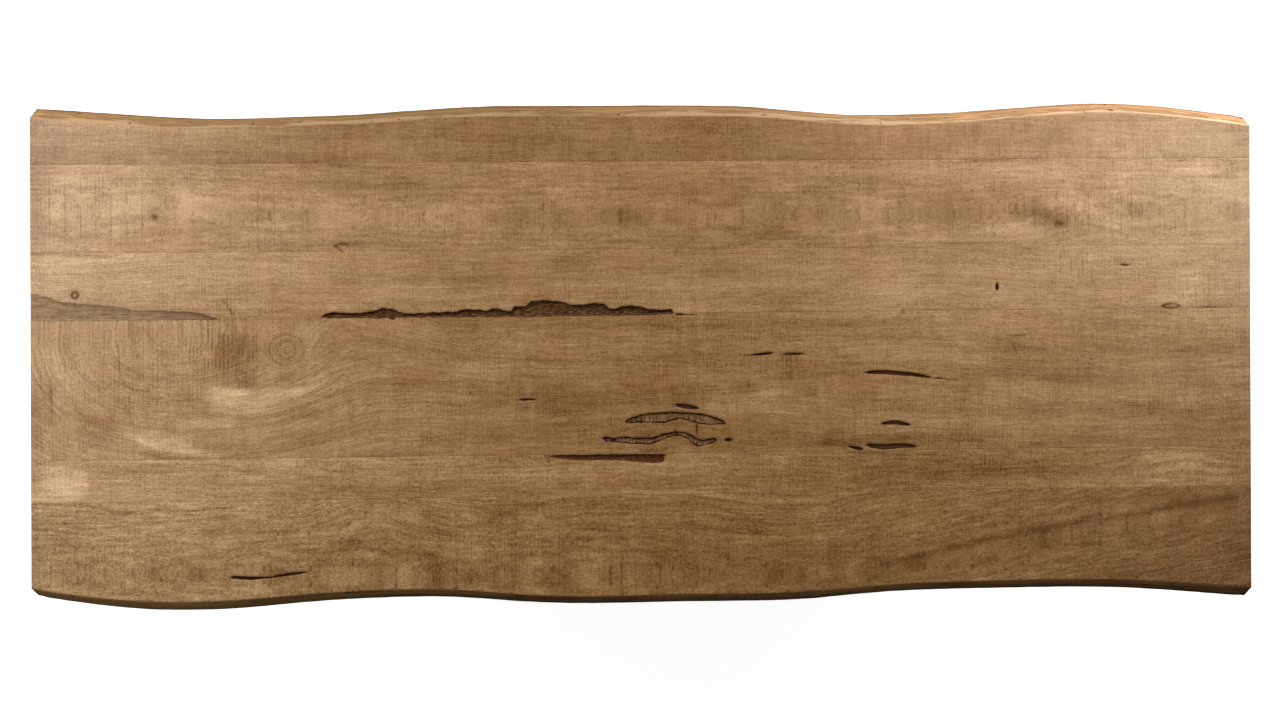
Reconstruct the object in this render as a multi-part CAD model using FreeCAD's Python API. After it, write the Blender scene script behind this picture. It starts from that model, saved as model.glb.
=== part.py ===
"""Rustic trestle dining table with a live-edge plank top, built from separate wooden and metal pieces.

Millimetres. +X runs along the table, +Y to its back edge, +Z up. The origin is on the floor under
the middle of the top. Every piece is written to parts/NAME.step.
"""

import FreeCAD
import Part
import math
import os

V = FreeCAD.Vector
UP = V(0, 0, 1)
DOWN = V(0, 0, -1)
ALONG = V(1, 0, 0)
ACROSS = V(0, 1, 0)

# Overall sizes
table_height = 762.0
top_length = 2438.4
top_width = 1016.0
top_thickness = 44.0

# Glued joints between the six planks, from the back edge: shares of the top's width and of the skew
joint_place_shares = (0.1166, 0.2889, 0.4154, 0.6909, 0.7721)
joint_skew = 27.0
joint_skew_shares = (0.19, 0.33, 0.52, 0.81, 1.0)

# Live edges: how far they wander inward, and how far the sloping bark face runs out below the top
edge_wander = 40.0
back_bevel_run = 25.0
front_bevel_run = 19.5
facet_depth = 11.0
facet_run_share = 0.5
# (share of the length, share of the wander, share of the bevel run)
back_edge_shares = (
    (0.00, 0.05, 1.00), (0.05, 0.25, 1.10), (0.14, 0.60, 0.90), (0.20, 0.54, 0.92),
    (0.27, 0.40, 1.00), (0.36, 0.05, 1.04), (0.42, 0.00, 1.10), (0.55, 0.03, 1.08),
    (0.60, 0.15, 1.00), (0.66, 0.48, 1.00), (0.71, 0.54, 1.04), (0.78, 0.36, 1.00),
    (0.84, 0.09, 0.96), (0.88, 0.00, 0.94), (0.92, 0.12, 0.92), (0.96, 0.40, 0.90), (1.00, 0.72, 0.92),
)
front_edge_shares = (
    (0.00, 0.75, 1.00), (0.03, 0.45, 0.98), (0.07, 0.15, 1.05), (0.12, 0.00, 1.08),
    (0.17, 0.10, 1.05), (0.23, 0.42, 1.02), (0.30, 0.62, 1.00), (0.35, 0.60, 0.98),
    (0.40, 0.37, 0.96), (0.46, 0.27, 0.93), (0.54, 0.33, 1.02), (0.61, 0.37, 1.00),
    (0.66, 0.56, 0.95), (0.71, 0.81, 0.95), (0.77, 0.93, 0.98), (0.85, 1.00, 1.00),
    (0.91, 0.92, 1.02), (0.96, 0.69, 1.10), (1.00, 0.50, 1.15),
)

# Bark pocket along the front edge of plank 3, and the weathered wane at its left end
bark_start_share = 0.238
bark_length = 706.0
bark_width = 31.0
bark_depth = 7.0
bark_shares = (
    (0.000, 0.00), (0.020, 0.26), (0.045, 0.37), (0.110, 0.33), (0.155, 0.45), (0.185, 0.62),
    (0.215, 0.54), (0.245, 0.32), (0.350, 0.36), (0.400, 0.33), (0.420, 0.51), (0.445, 0.45),
    (0.465, 0.32), (0.485, 0.54), (0.510, 0.46), (0.535, 0.28), (0.550, 0.63), (0.584, 0.63),
    (0.600, 0.94), (0.635, 1.00), (0.665, 0.97), (0.695, 0.85), (0.730, 0.77), (0.770, 0.83),
    (0.808, 0.72), (0.818, 0.42), (0.840, 0.43), (0.862, 0.63), (0.908, 0.60), (0.948, 0.38),
    (1.000, 0.36), (1.000, 0.00),
)
wane_length = 372.0
wane_width = 54.0
wane_depth = 1.2
wane_shares = (
    (0.000, 1.00), (0.080, 0.88), (0.130, 0.70), (0.190, 0.63), (0.260, 0.64), (0.370, 0.55),
    (0.455, 0.49), (0.550, 0.35), (0.620, 0.32), (0.700, 0.37), (0.800, 0.31), (0.880, 0.26),
    (0.945, 0.13), (1.000, 0.00), (0.000, 0.00),
)

# Gum pocket along the back edge of plank 5
gum_start_share = 0.425
gum_length = 236.0
gum_width = 18.0
gum_depth = 4.0
gum_shares = (
    (0.00, 0.00), (0.10, 0.35), (0.24, 0.70), (0.30, 0.72), (0.40, 0.60), (0.55, 0.66),
    (0.68, 0.72), (0.78, 0.92), (0.90, 1.00), (0.95, 0.88), (0.98, 0.50), (0.97, 0.25), (1.00, 0.00),
)

# Two curved bark pockets in plank 4, laid out from their left tips
crescent_place_shares = (0.4882, -0.1285)
crescent_length = 204.0
crescent_width = 27.0
crescent_depth = 4.0
crescent_shares = (
    (0.00, 0.00), (0.09, 0.26), (0.20, 0.47), (0.33, 0.52), (0.48, 0.56), (0.62, 0.50),
    (0.75, 0.38), (0.87, 0.12), (0.94, -0.10), (1.00, -0.38), (0.84, -0.38), (0.72, -0.30),
    (0.57, 0.00), (0.43, -0.18), (0.23, -0.20), (0.04, -0.18),
)
wave_place_shares = (0.4690, -0.1650)
wave_length = 228.0
wave_width = 26.0
wave_depth = 3.5
wave_shares = (
    (0.00, 0.00), (0.11, -0.03), (0.20, 0.08), (0.33, 0.00), (0.46, 0.04), (0.55, 0.26),
    (0.64, 0.46), (0.73, 0.42), (0.80, 0.20), (0.87, -0.10), (1.00, -0.10), (0.90, -0.60),
    (0.80, -0.38), (0.72, -0.10), (0.64, -0.02), (0.55, -0.18), (0.42, -0.40), (0.20, -0.32),
)

# Surface checks: (plank, share of the length, share of the width, length, rise and opening as shares)
check_length = 80.0
check_rise = 8.0
check_opening = 8.0
check_depth = 3.0
check_shares = (
    (4, 0.5868, 0.0046, 0.75, 0.70, 0.50),
    (4, 0.6168, 0.0028, 0.56, 0.05, 0.40),
    (4, 0.6843, -0.0345, 1.70, -1.10, 0.80),
    (4, 0.6975, -0.1330, 0.72, -0.10, 0.95),
    (4, 0.6706, -0.1790, 0.37, -0.60, 0.75),
    (4, 0.6845, -0.1765, 1.30, -0.40, 1.10),
    (4, 0.4013, -0.0810, 0.42, 0.10, 0.50),
    (4, 0.5290, -0.0960, 0.55, -0.80, 0.95),
    (6, 0.1622, -0.4300, 1.94, 1.10, 0.75),
)

# Dowels in the glued joints of the top
dowel_radius = 6.0
dowel_length = 60.0
dowel_end_inset = 99.2
dowels_per_joint = 8
dowel_height_in_top = 18.0

# Trestles
end_overhang = 429.2
bearer_inset = 68.0
bearer_width = 96.0
bearer_height = 62.0
bearer_tip_height = 30.0
bearer_taper_length = 120.0
post_width = 88.0
post_spacing = 380.0
post_tenon_width = 60.0
post_tenon_thickness = 30.0
post_foot_tenon = 62.0
post_bearer_tenon = 40.0
foot_length = 880.0
foot_width = 104.0
foot_height = 92.0
foot_nose_height = 48.0
foot_flat_length = 520.0
foot_cove_drop = 20.0
foot_arch_length = 540.0
foot_arch_rise = 22.0

# Rail between the posts of a trestle, and the long stretcher keyed through it
rail_center_z = 392.0
rail_height = 132.0
rail_thickness = 46.0
rail_tenon_length = 34.0
rail_tenon_thickness = 24.0
rail_tenon_height = 92.0
stretcher_height = 150.0
stretcher_thickness = 46.0
stretcher_tenon_height = 86.0
stretcher_tenon_thickness = 28.0
tenon_projection = 92.0
stretcher_arch_rise = 26.0
stretcher_arch_inset = 110.0

# Wedges that hold the stretcher's tenons
wedge_thickness = 14.0
wedge_tip_width = 20.0
wedge_head_width = 31.0
wedge_below = 30.0
wedge_above = 38.0
wedge_bite = 4.0
wedge_chamfer = 4.0

# Chamfers on the arrises of the timbers
chamfer_leg = 9.0
chamfer_run_out = 16.0
chamfer_margin = 52.0
chamfer_rail_margin = 22.0

# Pegs across the tenons
peg_radius = 6.0
peg_proud = 2.5
peg_chamfer = 1.5
peg_spread = 30.0
peg_inset = 26.0

# Cleat across the underside at mid-length
cleat_inset = 68.0
cleat_width = 84.0
cleat_height = 36.0
cleat_tip_height = 18.0
cleat_taper_length = 40.0

# Lag screws and washers that hold the planks down
screw_radius = 4.0
screw_length = 55.0
screw_tip_length = 8.0
screw_head_flats = 13.0
screw_head_height = 5.5
screw_edge_wall = 6.0
washer_radius = 11.0
washer_thickness = 2.0
screw_web = 24.0
counterbore_radius = 12.5
slot_play = 5.0
# where each plank's screws stand across it, as a share from its back edge to its front edge
screw_place_shares = (0.62, 0.50, 0.80, 0.50, 0.75, 0.50)

# Levelling glides under the feet
glide_radius = 20.0
glide_height = 9.0
glide_edge = 2.0
glide_socket_depth = 5.0
glide_inset = 75.0
collar_flats = 17.0
collar_height = 6.0
stem_radius = 5.0
stem_length = 46.0
spigot_radius = 4.0
tee_flange_radius = 13.0
tee_flange_thickness = 1.6
tee_barrel_radius = 6.5
tee_barrel_length = 18.0

# Clearances
fit_gap = 0.2
running_gap = 0.08
peg_gap = 0.1
wedge_gap = 0.15
overrun = 5.0

# Places worked out from the sizes above
top_z = table_height
under_z = top_z - top_thickness
half_length = top_length / 2
trestle_x = half_length - end_overhang
bearer_z = under_z - bearer_height
foot_z = glide_height + collar_height
foot_top_z = foot_z + foot_height
rail_z = rail_center_z - rail_height / 2
rail_top_z = rail_center_z + rail_height / 2
post_ys = (-post_spacing / 2, post_spacing / 2)


def box(x_range, y_range, z_range):
    """An upright box between the given pairs of coordinates."""
    corner = V(min(x_range), min(y_range), min(z_range))
    return Part.makeBox(
        abs(x_range[1] - x_range[0]), abs(y_range[1] - y_range[0]), abs(z_range[1] - z_range[0]), corner
    )


def centred_box(centre, size):
    """An upright box round a centre."""
    return box(*[(c - s / 2, c + s / 2) for c, s in zip(centre, size)])


def rod(radius, length, base, direction):
    return Part.makeCylinder(radius, length, base, direction)


def prism(points, direction):
    """A solid swept from a closed outline of straight edges."""
    outline = Part.makePolygon(list(points) + [points[0]])
    return Part.Face(outline).extrude(direction)


def swept_outline(edges, direction):
    """A solid swept from a closed outline of lines and arcs, given in order."""
    shapes = [e.toShape() for e in edges]
    return Part.Face(Part.Wire(shapes)).extrude(direction)


def hexagon_bar(flats, length, base):
    """An upright hexagonal bar, measured across its flats."""
    radius = flats / math.sqrt(3)
    corners = [
        base + V(radius * math.cos(math.radians(60 * k)), radius * math.sin(math.radians(60 * k)), 0)
        for k in range(6)
    ]
    return prism(corners, UP * length)


def export(name, solids):
    """Writes one piece, or a group of like pieces, to its own file."""
    shape = solids[0] if len(solids) == 1 else Part.makeCompound(solids)
    assert shape.isValid(), name
    shape.exportStep("parts/" + name + ".step")


# Planks of the top

def joint_y(index, x):
    """Place of a glued joint at x. The joints lean a little, because the planks taper."""
    lean = joint_skew * joint_skew_shares[index]
    return (0.5 - joint_place_shares[index]) * top_width + lean * x / top_length


def live_edge_line(shares, side, run, run_share, z):
    """One level line of a live edge. side is 1 at the back and -1 at the front."""
    points = []
    for along, inset, bevel in shares:
        depth = edge_wander * inset + run * bevel * run_share
        points.append(V((along - 0.5) * top_length, side * (top_width / 2 - depth), z))
    curve = Part.BSplineCurve()
    curve.interpolate(points)
    return curve.toShape(), points[0], points[-1]


def live_edge_plank(shares, side, run, joint):
    """A plank with one live edge: three level outlines joined by sloping faces."""
    levels = ((under_z, 0.0), (top_z - facet_depth, facet_run_share), (top_z, 1.0))
    outlines = []
    for z, run_share in levels:
        edge, left, right = live_edge_line(shares, side, run, run_share, z)
        joint_left = V(-half_length, joint_y(joint, -half_length), z)
        joint_right = V(half_length, joint_y(joint, half_length), z)
        outlines.append(
            Part.Wire(
                [
                    edge,
                    Part.LineSegment(right, joint_right).toShape(),
                    Part.LineSegment(joint_right, joint_left).toShape(),
                    Part.LineSegment(joint_left, left).toShape(),
                ]
            )
        )
    return Part.makeLoft(outlines, True, True)


def inner_plank(back_joint, front_joint):
    """A plank between two glued joints."""
    corners = [
        V(-half_length, joint_y(back_joint, -half_length), under_z),
        V(half_length, joint_y(back_joint, half_length), under_z),
        V(half_length, joint_y(front_joint, half_length), under_z),
        V(-half_length, joint_y(front_joint, -half_length), under_z),
    ]
    return prism(corners, UP * top_thickness)


def plank_sides(number, x):
    """Back and front y of a plank at x, leaving out how a live edge wanders."""
    back = top_width / 2 - edge_wander - back_bevel_run if number == 1 else joint_y(number - 2, x)
    front = -top_width / 2 + edge_wander + front_bevel_run if number == 6 else joint_y(number - 1, x)
    return back, front


def pocket(points, depth):
    """A pocket of the given outline, cut down from the top face."""
    lifted = [V(p.x, p.y, top_z + overrun) for p in points]
    return prism(lifted, DOWN * (depth + overrun))


def pocket_on_joint(joint, start, length, width, shares, depth, side):
    """A pocket whose flat side lies on a glued joint. side is 1 when it opens to the back."""
    points = []
    for along, across in shares:
        x = start + length * along
        points.append(V(x, joint_y(joint, x) + side * width * across, 0))
    return pocket(points, depth)


def pocket_at(place_shares, length, width, shares, depth):
    """A pocket in the middle of a plank, laid out from its left tip."""
    x = (place_shares[0] - 0.5) * top_length
    y = place_shares[1] * top_width
    return pocket([V(x + length * a, y + width * b, 0) for a, b in shares], depth)


def surface_check(along, across, length_share, rise_share, opening_share):
    """A check in the wood: a lens-shaped slit between two tips."""
    start = V((along - 0.5) * top_length, across * top_width, top_z + overrun)
    end = start + V(check_length * length_share, check_rise * rise_share, 0)
    side = V(0, check_opening * opening_share / 2, 0)
    middle = (start + end) / 2
    arcs = [Part.Arc(start, middle + side, end), Part.Arc(end, middle - side, start)]
    return swept_outline(arcs, DOWN * (check_depth + overrun))


def pocket_cuts():
    """The pockets and checks of each plank, by its number."""
    bark_start = (bark_start_share - 0.5) * top_length
    gum_start = (gum_start_share - 0.5) * top_length
    cuts = {
        3: [
            pocket_on_joint(2, bark_start, bark_length, bark_width, bark_shares, bark_depth, 1),
            pocket_on_joint(2, -half_length, wane_length, wane_width, wane_shares, wane_depth, 1),
        ],
        4: [
            pocket_at(
                crescent_place_shares, crescent_length, crescent_width, crescent_shares, crescent_depth
            ),
            pocket_at(wave_place_shares, wave_length, wave_width, wave_shares, wave_depth),
        ],
        5: [pocket_on_joint(3, gum_start, gum_length, gum_width, gum_shares, gum_depth, -1)],
        6: [],
    }
    for plank, along, across, length_share, rise_share, opening_share in check_shares:
        cuts[plank].append(surface_check(along, across, length_share, rise_share, opening_share))
    return cuts


# Dowels

def dowel_places(joint):
    """Centres of the dowels in one glued joint."""
    first = dowel_end_inset - half_length
    pitch = -2 * first / (dowels_per_joint - 1)
    xs = [first + pitch * k for k in range(dowels_per_joint)]
    return [V(x, joint_y(joint, x), under_z + dowel_height_in_top) for x in xs]


def dowels(radius, length):
    """The dowels of all joints, or with a larger size the holes that they sit in."""
    made = []
    for joint in range(len(joint_skew_shares)):
        made.append(
            [rod(radius, length, p - ACROSS * (length / 2), ACROSS) for p in dowel_places(joint)]
        )
    return made


# Lag screws

def screw_lines():
    """x of each row of screws: one on the inner side of each bearer and one in the cleat."""
    offset = bearer_width / 2 - screw_edge_wall - counterbore_radius
    return (-trestle_x + offset, 0.0, trestle_x - offset)


def screw_places(number):
    """Where the screws of one plank stand, as (x, y) at the underside of the top."""
    places = []
    for x in screw_lines():
        back, front = plank_sides(number, x)
        places.append(V(x, back + (front - back) * screw_place_shares[number - 1], under_z))
    return places


def lag_screw(place):
    """A hexagon-head screw with a plain shank and a pointed tip."""
    head_z = under_z - screw_web - washer_thickness
    base = V(place.x, place.y, head_z)
    shank = rod(screw_radius, screw_length - screw_tip_length, base, UP)
    tip_base = base + UP * (screw_length - screw_tip_length)
    tip = Part.makeCone(screw_radius, screw_radius / 4, screw_tip_length, tip_base, UP)
    head = hexagon_bar(screw_head_flats, screw_head_height, base - UP * screw_head_height)
    return head.fuse([shank, tip]).removeSplitter()


def pilot_hole(place):
    """The hole that a screw's shank turns into, from the underside of a plank."""
    depth = screw_length - screw_web - washer_thickness + fit_gap
    base = V(place.x, place.y, under_z - overrun)
    return rod(screw_radius + fit_gap, depth + overrun, base, UP)


def washer(place):
    base = V(place.x, place.y, under_z - screw_web - washer_thickness)
    disc = rod(washer_radius, washer_thickness, base, UP)
    return disc.cut(rod(screw_radius + fit_gap, washer_thickness, base, UP))


def slotted_counterbore(place):
    """A counterbore for head and washer and a slot across the table, so that the top can move."""
    long_side = slot_play
    wide_base = V(place.x, place.y, 0)
    cut_parts = []
    for radius, bottom, top in (
        (counterbore_radius, bearer_z - overrun, under_z - screw_web),
        (screw_radius + fit_gap, under_z - screw_web - overrun, under_z + overrun),
    ):
        height = top - bottom
        for shift in (-long_side, long_side):
            cut_parts.append(rod(radius, height, wide_base + V(0, shift, bottom), UP))
        cut_parts.append(
            box(
                (place.x - radius, place.x + radius),
                (place.y - long_side, place.y + long_side),
                (bottom, top),
            )
        )
    return cut_parts[0].fuse(cut_parts[1:])


# Timbers

def tapered_batten(centre_x, inset, width, height, tip_height, taper_length):
    """A batten under the top whose ends thin towards their tips, with its screw slots."""
    low = under_z - height
    tip = under_z - tip_height
    half = top_width / 2 - inset
    x = centre_x - width / 2
    outline = [
        V(x, -half, under_z),
        V(x, half, under_z),
        V(x, half, tip),
        V(x, half - taper_length, low),
        V(x, -half + taper_length, low),
        V(x, -half, tip),
    ]
    batten = prism(outline, ALONG * width)
    holes = [
        slotted_counterbore(place)
        for number in range(1, 7)
        for place in screw_places(number)
        if abs(place.x - centre_x) < width / 2
    ]
    return batten.cut(holes)


def tenon_socket(centre_x, centre_y, z_range):
    """The mortise for a post's tenon."""
    half_x = post_tenon_thickness / 2 + fit_gap
    half_y = post_tenon_width / 2 + fit_gap
    return box((centre_x - half_x, centre_x + half_x), (centre_y - half_y, centre_y + half_y), z_range)


def peg_rod(radius, width, centre):
    """A peg lying along X, or with a larger radius its hole."""
    return rod(radius, width, centre - ALONG * (width / 2), ALONG)


def tenon_peg_places(side, z):
    """Two pegs side by side through each post's tenon."""
    return [V(side * trestle_x, y + s * peg_spread / 2, z) for y in post_ys for s in (-1, 1)]


def foot_peg_places(side):
    return tenon_peg_places(side, foot_top_z - peg_inset)


def bearer_peg_places(side):
    return tenon_peg_places(side, bearer_z + post_bearer_tenon / 2)


def rail_peg_places(side):
    """Pegs through the posts and the tenons of the rail."""
    reach = post_width / 2 - rail_tenon_length / 2
    places = []
    for y in post_ys:
        inner = y - math.copysign(reach, y)
        for s in (-1, 1):
            places.append(V(side * trestle_x, inner, rail_center_z + s * rail_tenon_height / 4))
    return places


def peg(width, centre):
    """A round peg that stands a little proud at both ends, with its rims eased."""
    length = width + 2 * peg_proud
    body = peg_rod(peg_radius, length, centre)
    rims = [e for e in body.Edges if isinstance(e.Curve, Part.Circle)]
    return body.makeChamfer(peg_chamfer, rims)


def peg_holes(places):
    width = foot_width + 2 * overrun
    return [peg_rod(peg_radius + peg_gap, width, p) for p in places]


def stopped_chamfer(edge_point, outward, z_range):
    """A prism that cuts one upright arris between two sloping stops."""
    normal = outward.normalize()
    tangent = normal.cross(UP)
    depth = chamfer_leg / math.sqrt(2)
    low, high = z_range
    spill = chamfer_run_out * overrun / depth
    profile = [
        edge_point - normal * depth + UP * (low + chamfer_run_out),
        edge_point - normal * depth + UP * (high - chamfer_run_out),
        edge_point + normal * overrun + UP * (high + spill),
        edge_point + normal * overrun + UP * (low - spill),
    ]
    shifted = [p - tangent * chamfer_leg for p in profile]
    return prism(shifted, tangent * (2 * chamfer_leg))


def post(side, y):
    """A square post with a tenon at each end and stopped chamfers below and above the rail."""
    x = side * trestle_x
    body = centred_box((x, y, (foot_top_z + bearer_z) / 2), (post_width, post_width, bearer_z - foot_top_z))
    lower = centred_box(
        (x, y, foot_top_z - post_foot_tenon / 2), (post_tenon_thickness, post_tenon_width, post_foot_tenon)
    )
    upper = centred_box(
        (x, y, bearer_z + post_bearer_tenon / 2), (post_tenon_thickness, post_tenon_width, post_bearer_tenon)
    )
    made = body.fuse([lower, upper]).removeSplitter()
    cuts = []
    for sx in (-1, 1):
        for sy in (-1, 1):
            arris = V(x + sx * post_width / 2, y + sy * post_width / 2, 0)
            runs = (
                (foot_top_z + chamfer_margin, rail_z - chamfer_rail_margin),
                (rail_top_z + chamfer_rail_margin, bearer_z - chamfer_margin),
            )
            cuts += [stopped_chamfer(arris, V(sx, sy, 0), run) for run in runs]
    inner = -math.copysign(1, y)
    mouth_y = y + inner * post_width / 2
    deep_y = mouth_y - inner * (rail_tenon_length + fit_gap)
    half = rail_tenon_thickness / 2 + fit_gap
    half_z = rail_tenon_height / 2 + fit_gap
    cuts.append(
        box(
            (x - half, x + half),
            (deep_y, mouth_y + inner * overrun),
            (rail_center_z - half_z, rail_center_z + half_z),
        )
    )
    pegs = foot_peg_places(side) + bearer_peg_places(side) + rail_peg_places(side)
    cuts += peg_holes([p for p in pegs if abs(p.y - y) < post_width])
    return made.cut(cuts)


def bearer(side):
    made = tapered_batten(
        side * trestle_x, bearer_inset, bearer_width, bearer_height, bearer_tip_height, bearer_taper_length
    )
    top = bearer_z + post_bearer_tenon + fit_gap
    cuts = [tenon_socket(side * trestle_x, y, (bearer_z - overrun, top)) for y in post_ys]
    return made.cut(cuts + peg_holes(bearer_peg_places(side)))


def foot(side):
    """A shoe foot: arched below, with a coved fall from the flat top to each nose."""
    x = side * trestle_x - foot_width / 2
    half = foot_length / 2
    flat = foot_flat_length / 2
    arch = foot_arch_length / 2
    nose_z = foot_z + foot_nose_height
    cove_y = (half + flat) / 2
    cove_z = (nose_z + foot_top_z) / 2 - foot_cove_drop / 2

    def at(y, z):
        return V(x, y, z)

    outline = [
        Part.Arc(at(-arch, foot_z), at(0, foot_z + foot_arch_rise), at(arch, foot_z)),
        Part.LineSegment(at(arch, foot_z), at(half, foot_z)),
        Part.LineSegment(at(half, foot_z), at(half, nose_z)),
        Part.Arc(at(half, nose_z), at(cove_y, cove_z), at(flat, foot_top_z)),
        Part.LineSegment(at(flat, foot_top_z), at(-flat, foot_top_z)),
        Part.Arc(at(-flat, foot_top_z), at(-cove_y, cove_z), at(-half, nose_z)),
        Part.LineSegment(at(-half, nose_z), at(-half, foot_z)),
        Part.LineSegment(at(-half, foot_z), at(-arch, foot_z)),
    ]
    made = swept_outline(outline, ALONG * foot_width)
    bottom = foot_top_z - post_foot_tenon - fit_gap
    cuts = [tenon_socket(side * trestle_x, y, (bottom, foot_top_z + overrun)) for y in post_ys]
    cuts += peg_holes(foot_peg_places(side))
    for place in glide_places():
        if place.x * side > 0:
            cuts += glide_socket(place)
    return made.cut(cuts)


def rail(side):
    """The short rail between the posts, with a mortise for the stretcher's tenon."""
    x = side * trestle_x
    between = post_spacing - post_width
    body = centred_box((x, 0, rail_center_z), (rail_thickness, between, rail_height))
    tenons = centred_box(
        (x, 0, rail_center_z), (rail_tenon_thickness, between + 2 * rail_tenon_length, rail_tenon_height)
    )
    mortise = centred_box(
        (x, 0, rail_center_z),
        (
            rail_thickness + 2 * overrun,
            stretcher_tenon_thickness + 2 * fit_gap,
            stretcher_tenon_height + 2 * fit_gap,
        ),
    )
    made = body.fuse(tenons).removeSplitter()
    return made.cut([mortise] + peg_holes(rail_peg_places(side)))


def wedge_width(z):
    """Width of a seated wedge at height z."""
    bottom = rail_center_z - stretcher_tenon_height / 2 - wedge_below
    height = stretcher_tenon_height + wedge_below + wedge_above
    return wedge_tip_width + (wedge_head_width - wedge_tip_width) * (z - bottom) / height


def stretcher():
    """The long stretcher: arched below, with a through tenon at each end."""
    shoulder = trestle_x - rail_thickness / 2
    tip = trestle_x + rail_thickness / 2 + tenon_projection
    low = rail_center_z - stretcher_height / 2
    high = rail_center_z + stretcher_height / 2
    arch = shoulder - stretcher_arch_inset
    y = -stretcher_thickness / 2

    def at(x, z):
        return V(x, y, z)

    outline = [
        Part.Arc(at(-arch, low), at(0, low + stretcher_arch_rise), at(arch, low)),
        Part.LineSegment(at(arch, low), at(shoulder, low)),
        Part.LineSegment(at(shoulder, low), at(shoulder, high)),
        Part.LineSegment(at(shoulder, high), at(-shoulder, high)),
        Part.LineSegment(at(-shoulder, high), at(-shoulder, low)),
        Part.LineSegment(at(-shoulder, low), at(-arch, low)),
    ]
    body = swept_outline(outline, ACROSS * stretcher_thickness)
    tenon = centred_box((0, 0, rail_center_z), (2 * tip, stretcher_tenon_thickness, stretcher_tenon_height))
    made = body.fuse(tenon).removeSplitter()
    slots = []
    for side in (-1, 1):
        face = trestle_x + rail_thickness / 2
        top = rail_center_z + stretcher_tenon_height / 2 + overrun
        bottom = rail_center_z - stretcher_tenon_height / 2 - overrun
        half = wedge_thickness / 2 + wedge_gap
        inner = face - wedge_bite
        outline = [
            V(side * inner, -half, bottom),
            V(side * (face + wedge_width(bottom) + 2 * wedge_gap), -half, bottom),
            V(side * (face + wedge_width(top) + 2 * wedge_gap), -half, top),
            V(side * inner, -half, top),
        ]
        slots.append(prism(outline, ACROSS * (2 * half)))
    return made.cut(slots)


def wedge(side):
    """A loose tapered key, dropped through the stretcher's tenon against the rail."""
    inner = trestle_x + rail_thickness / 2 + wedge_gap
    bottom = rail_center_z - stretcher_tenon_height / 2 - wedge_below
    top = rail_center_z + stretcher_tenon_height / 2 + wedge_above
    y = -wedge_thickness / 2
    outline = [
        V(side * inner, y, bottom),
        V(side * (inner + wedge_tip_width), y, bottom),
        V(side * (inner + wedge_width(top - wedge_chamfer)), y, top - wedge_chamfer),
        V(side * (inner + wedge_head_width - wedge_chamfer), y, top),
        V(side * (inner + wedge_chamfer), y, top),
        V(side * inner, y, top - wedge_chamfer),
    ]
    return prism(outline, ACROSS * wedge_thickness)


# Glides

def glide_places():
    """Where the four glides stand, at floor level."""
    reach = foot_length / 2 - glide_inset
    return [V(sx * trestle_x, sy * reach, 0) for sx in (-1, 1) for sy in (-1, 1)]


def glide_socket(place):
    """Holes in a foot for a tee nut's flange and barrel and for the stem above it."""
    base = V(place.x, place.y, foot_z)
    flange = rod(tee_flange_radius + fit_gap, tee_flange_thickness + overrun, base - UP * overrun, UP)
    barrel = rod(tee_barrel_radius + fit_gap, tee_barrel_length + fit_gap, base, UP)
    stem = rod(stem_radius + fit_gap, stem_length + 2 * fit_gap, base, UP)
    return [flange, barrel, stem]


def tee_nut(place):
    base = V(place.x, place.y, foot_z)
    flange = rod(tee_flange_radius, tee_flange_thickness, base, UP)
    barrel = rod(tee_barrel_radius, tee_barrel_length, base, UP)
    bore = rod(stem_radius + running_gap, tee_barrel_length, base, UP)
    return flange.fuse(barrel).removeSplitter().cut(bore)


def glide_pad(place):
    """A round foot with eased rims and a socket for the stem's end."""
    disc = rod(glide_radius, glide_height, place, UP)
    rims = [e for e in disc.Edges if isinstance(e.Curve, Part.Circle)]
    eased = disc.makeFillet(glide_edge, rims)
    socket_base = place + UP * (glide_height - glide_socket_depth)
    return eased.cut(rod(spigot_radius + running_gap, glide_socket_depth, socket_base, UP))


def glide_stem(place):
    """A stem with a hexagon collar, ending in a spigot that turns in the pad."""
    collar_base = place + UP * glide_height
    collar = hexagon_bar(collar_flats, collar_height, collar_base)
    stem = rod(stem_radius, stem_length + collar_height, collar_base, UP)
    spigot_length = glide_socket_depth - running_gap
    spigot = rod(spigot_radius, spigot_length, collar_base - UP * spigot_length, UP)
    return collar.fuse([stem, spigot]).removeSplitter()


def build_top():
    planks = {
        1: live_edge_plank(back_edge_shares, 1, back_bevel_run, 0),
        6: live_edge_plank(front_edge_shares, -1, front_bevel_run, 4),
    }
    for number in range(2, 6):
        planks[number] = inner_plank(number - 2, number - 1)
    holes = dowels(dowel_radius + fit_gap, dowel_length + 2 * fit_gap)
    pockets = pocket_cuts()
    for number, plank in planks.items():
        near_joints = [j for j in (number - 2, number - 1) if 0 <= j < len(holes)]
        cuts = [hole for j in near_joints for hole in holes[j]]
        cuts += [pilot_hole(place) for place in screw_places(number)]
        cuts += pockets.get(number, [])
        export("plank_%d" % number, [plank.cut(cuts)])
    export("edge_dowels", [d for joint in dowels(dowel_radius, dowel_length) for d in joint])
    places = [place for number in planks for place in screw_places(number)]
    export("lag_screws", [lag_screw(p) for p in places])
    export("lag_washers", [washer(p) for p in places])
    cleat = tapered_batten(0, cleat_inset, cleat_width, cleat_height, cleat_tip_height, cleat_taper_length)
    export("centre_cleat", [cleat])


def build_trestle(name, side):
    export(name + "_bearer", [bearer(side)])
    export(name + "_foot", [foot(side)])
    export(name + "_rail", [rail(side)])
    export(name + "_wedge", [wedge(side)])
    for label, y in zip(("front", "back"), post_ys):
        export("%s_%s_post" % (name, label), [post(side, y)])
    pegs = [peg(foot_width, p) for p in foot_peg_places(side)]
    export(name + "_foot_pegs", pegs)
    export(name + "_bearer_pegs", [peg(bearer_width, p) for p in bearer_peg_places(side)])
    export(name + "_rail_pegs", [peg(post_width, p) for p in rail_peg_places(side)])


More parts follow.
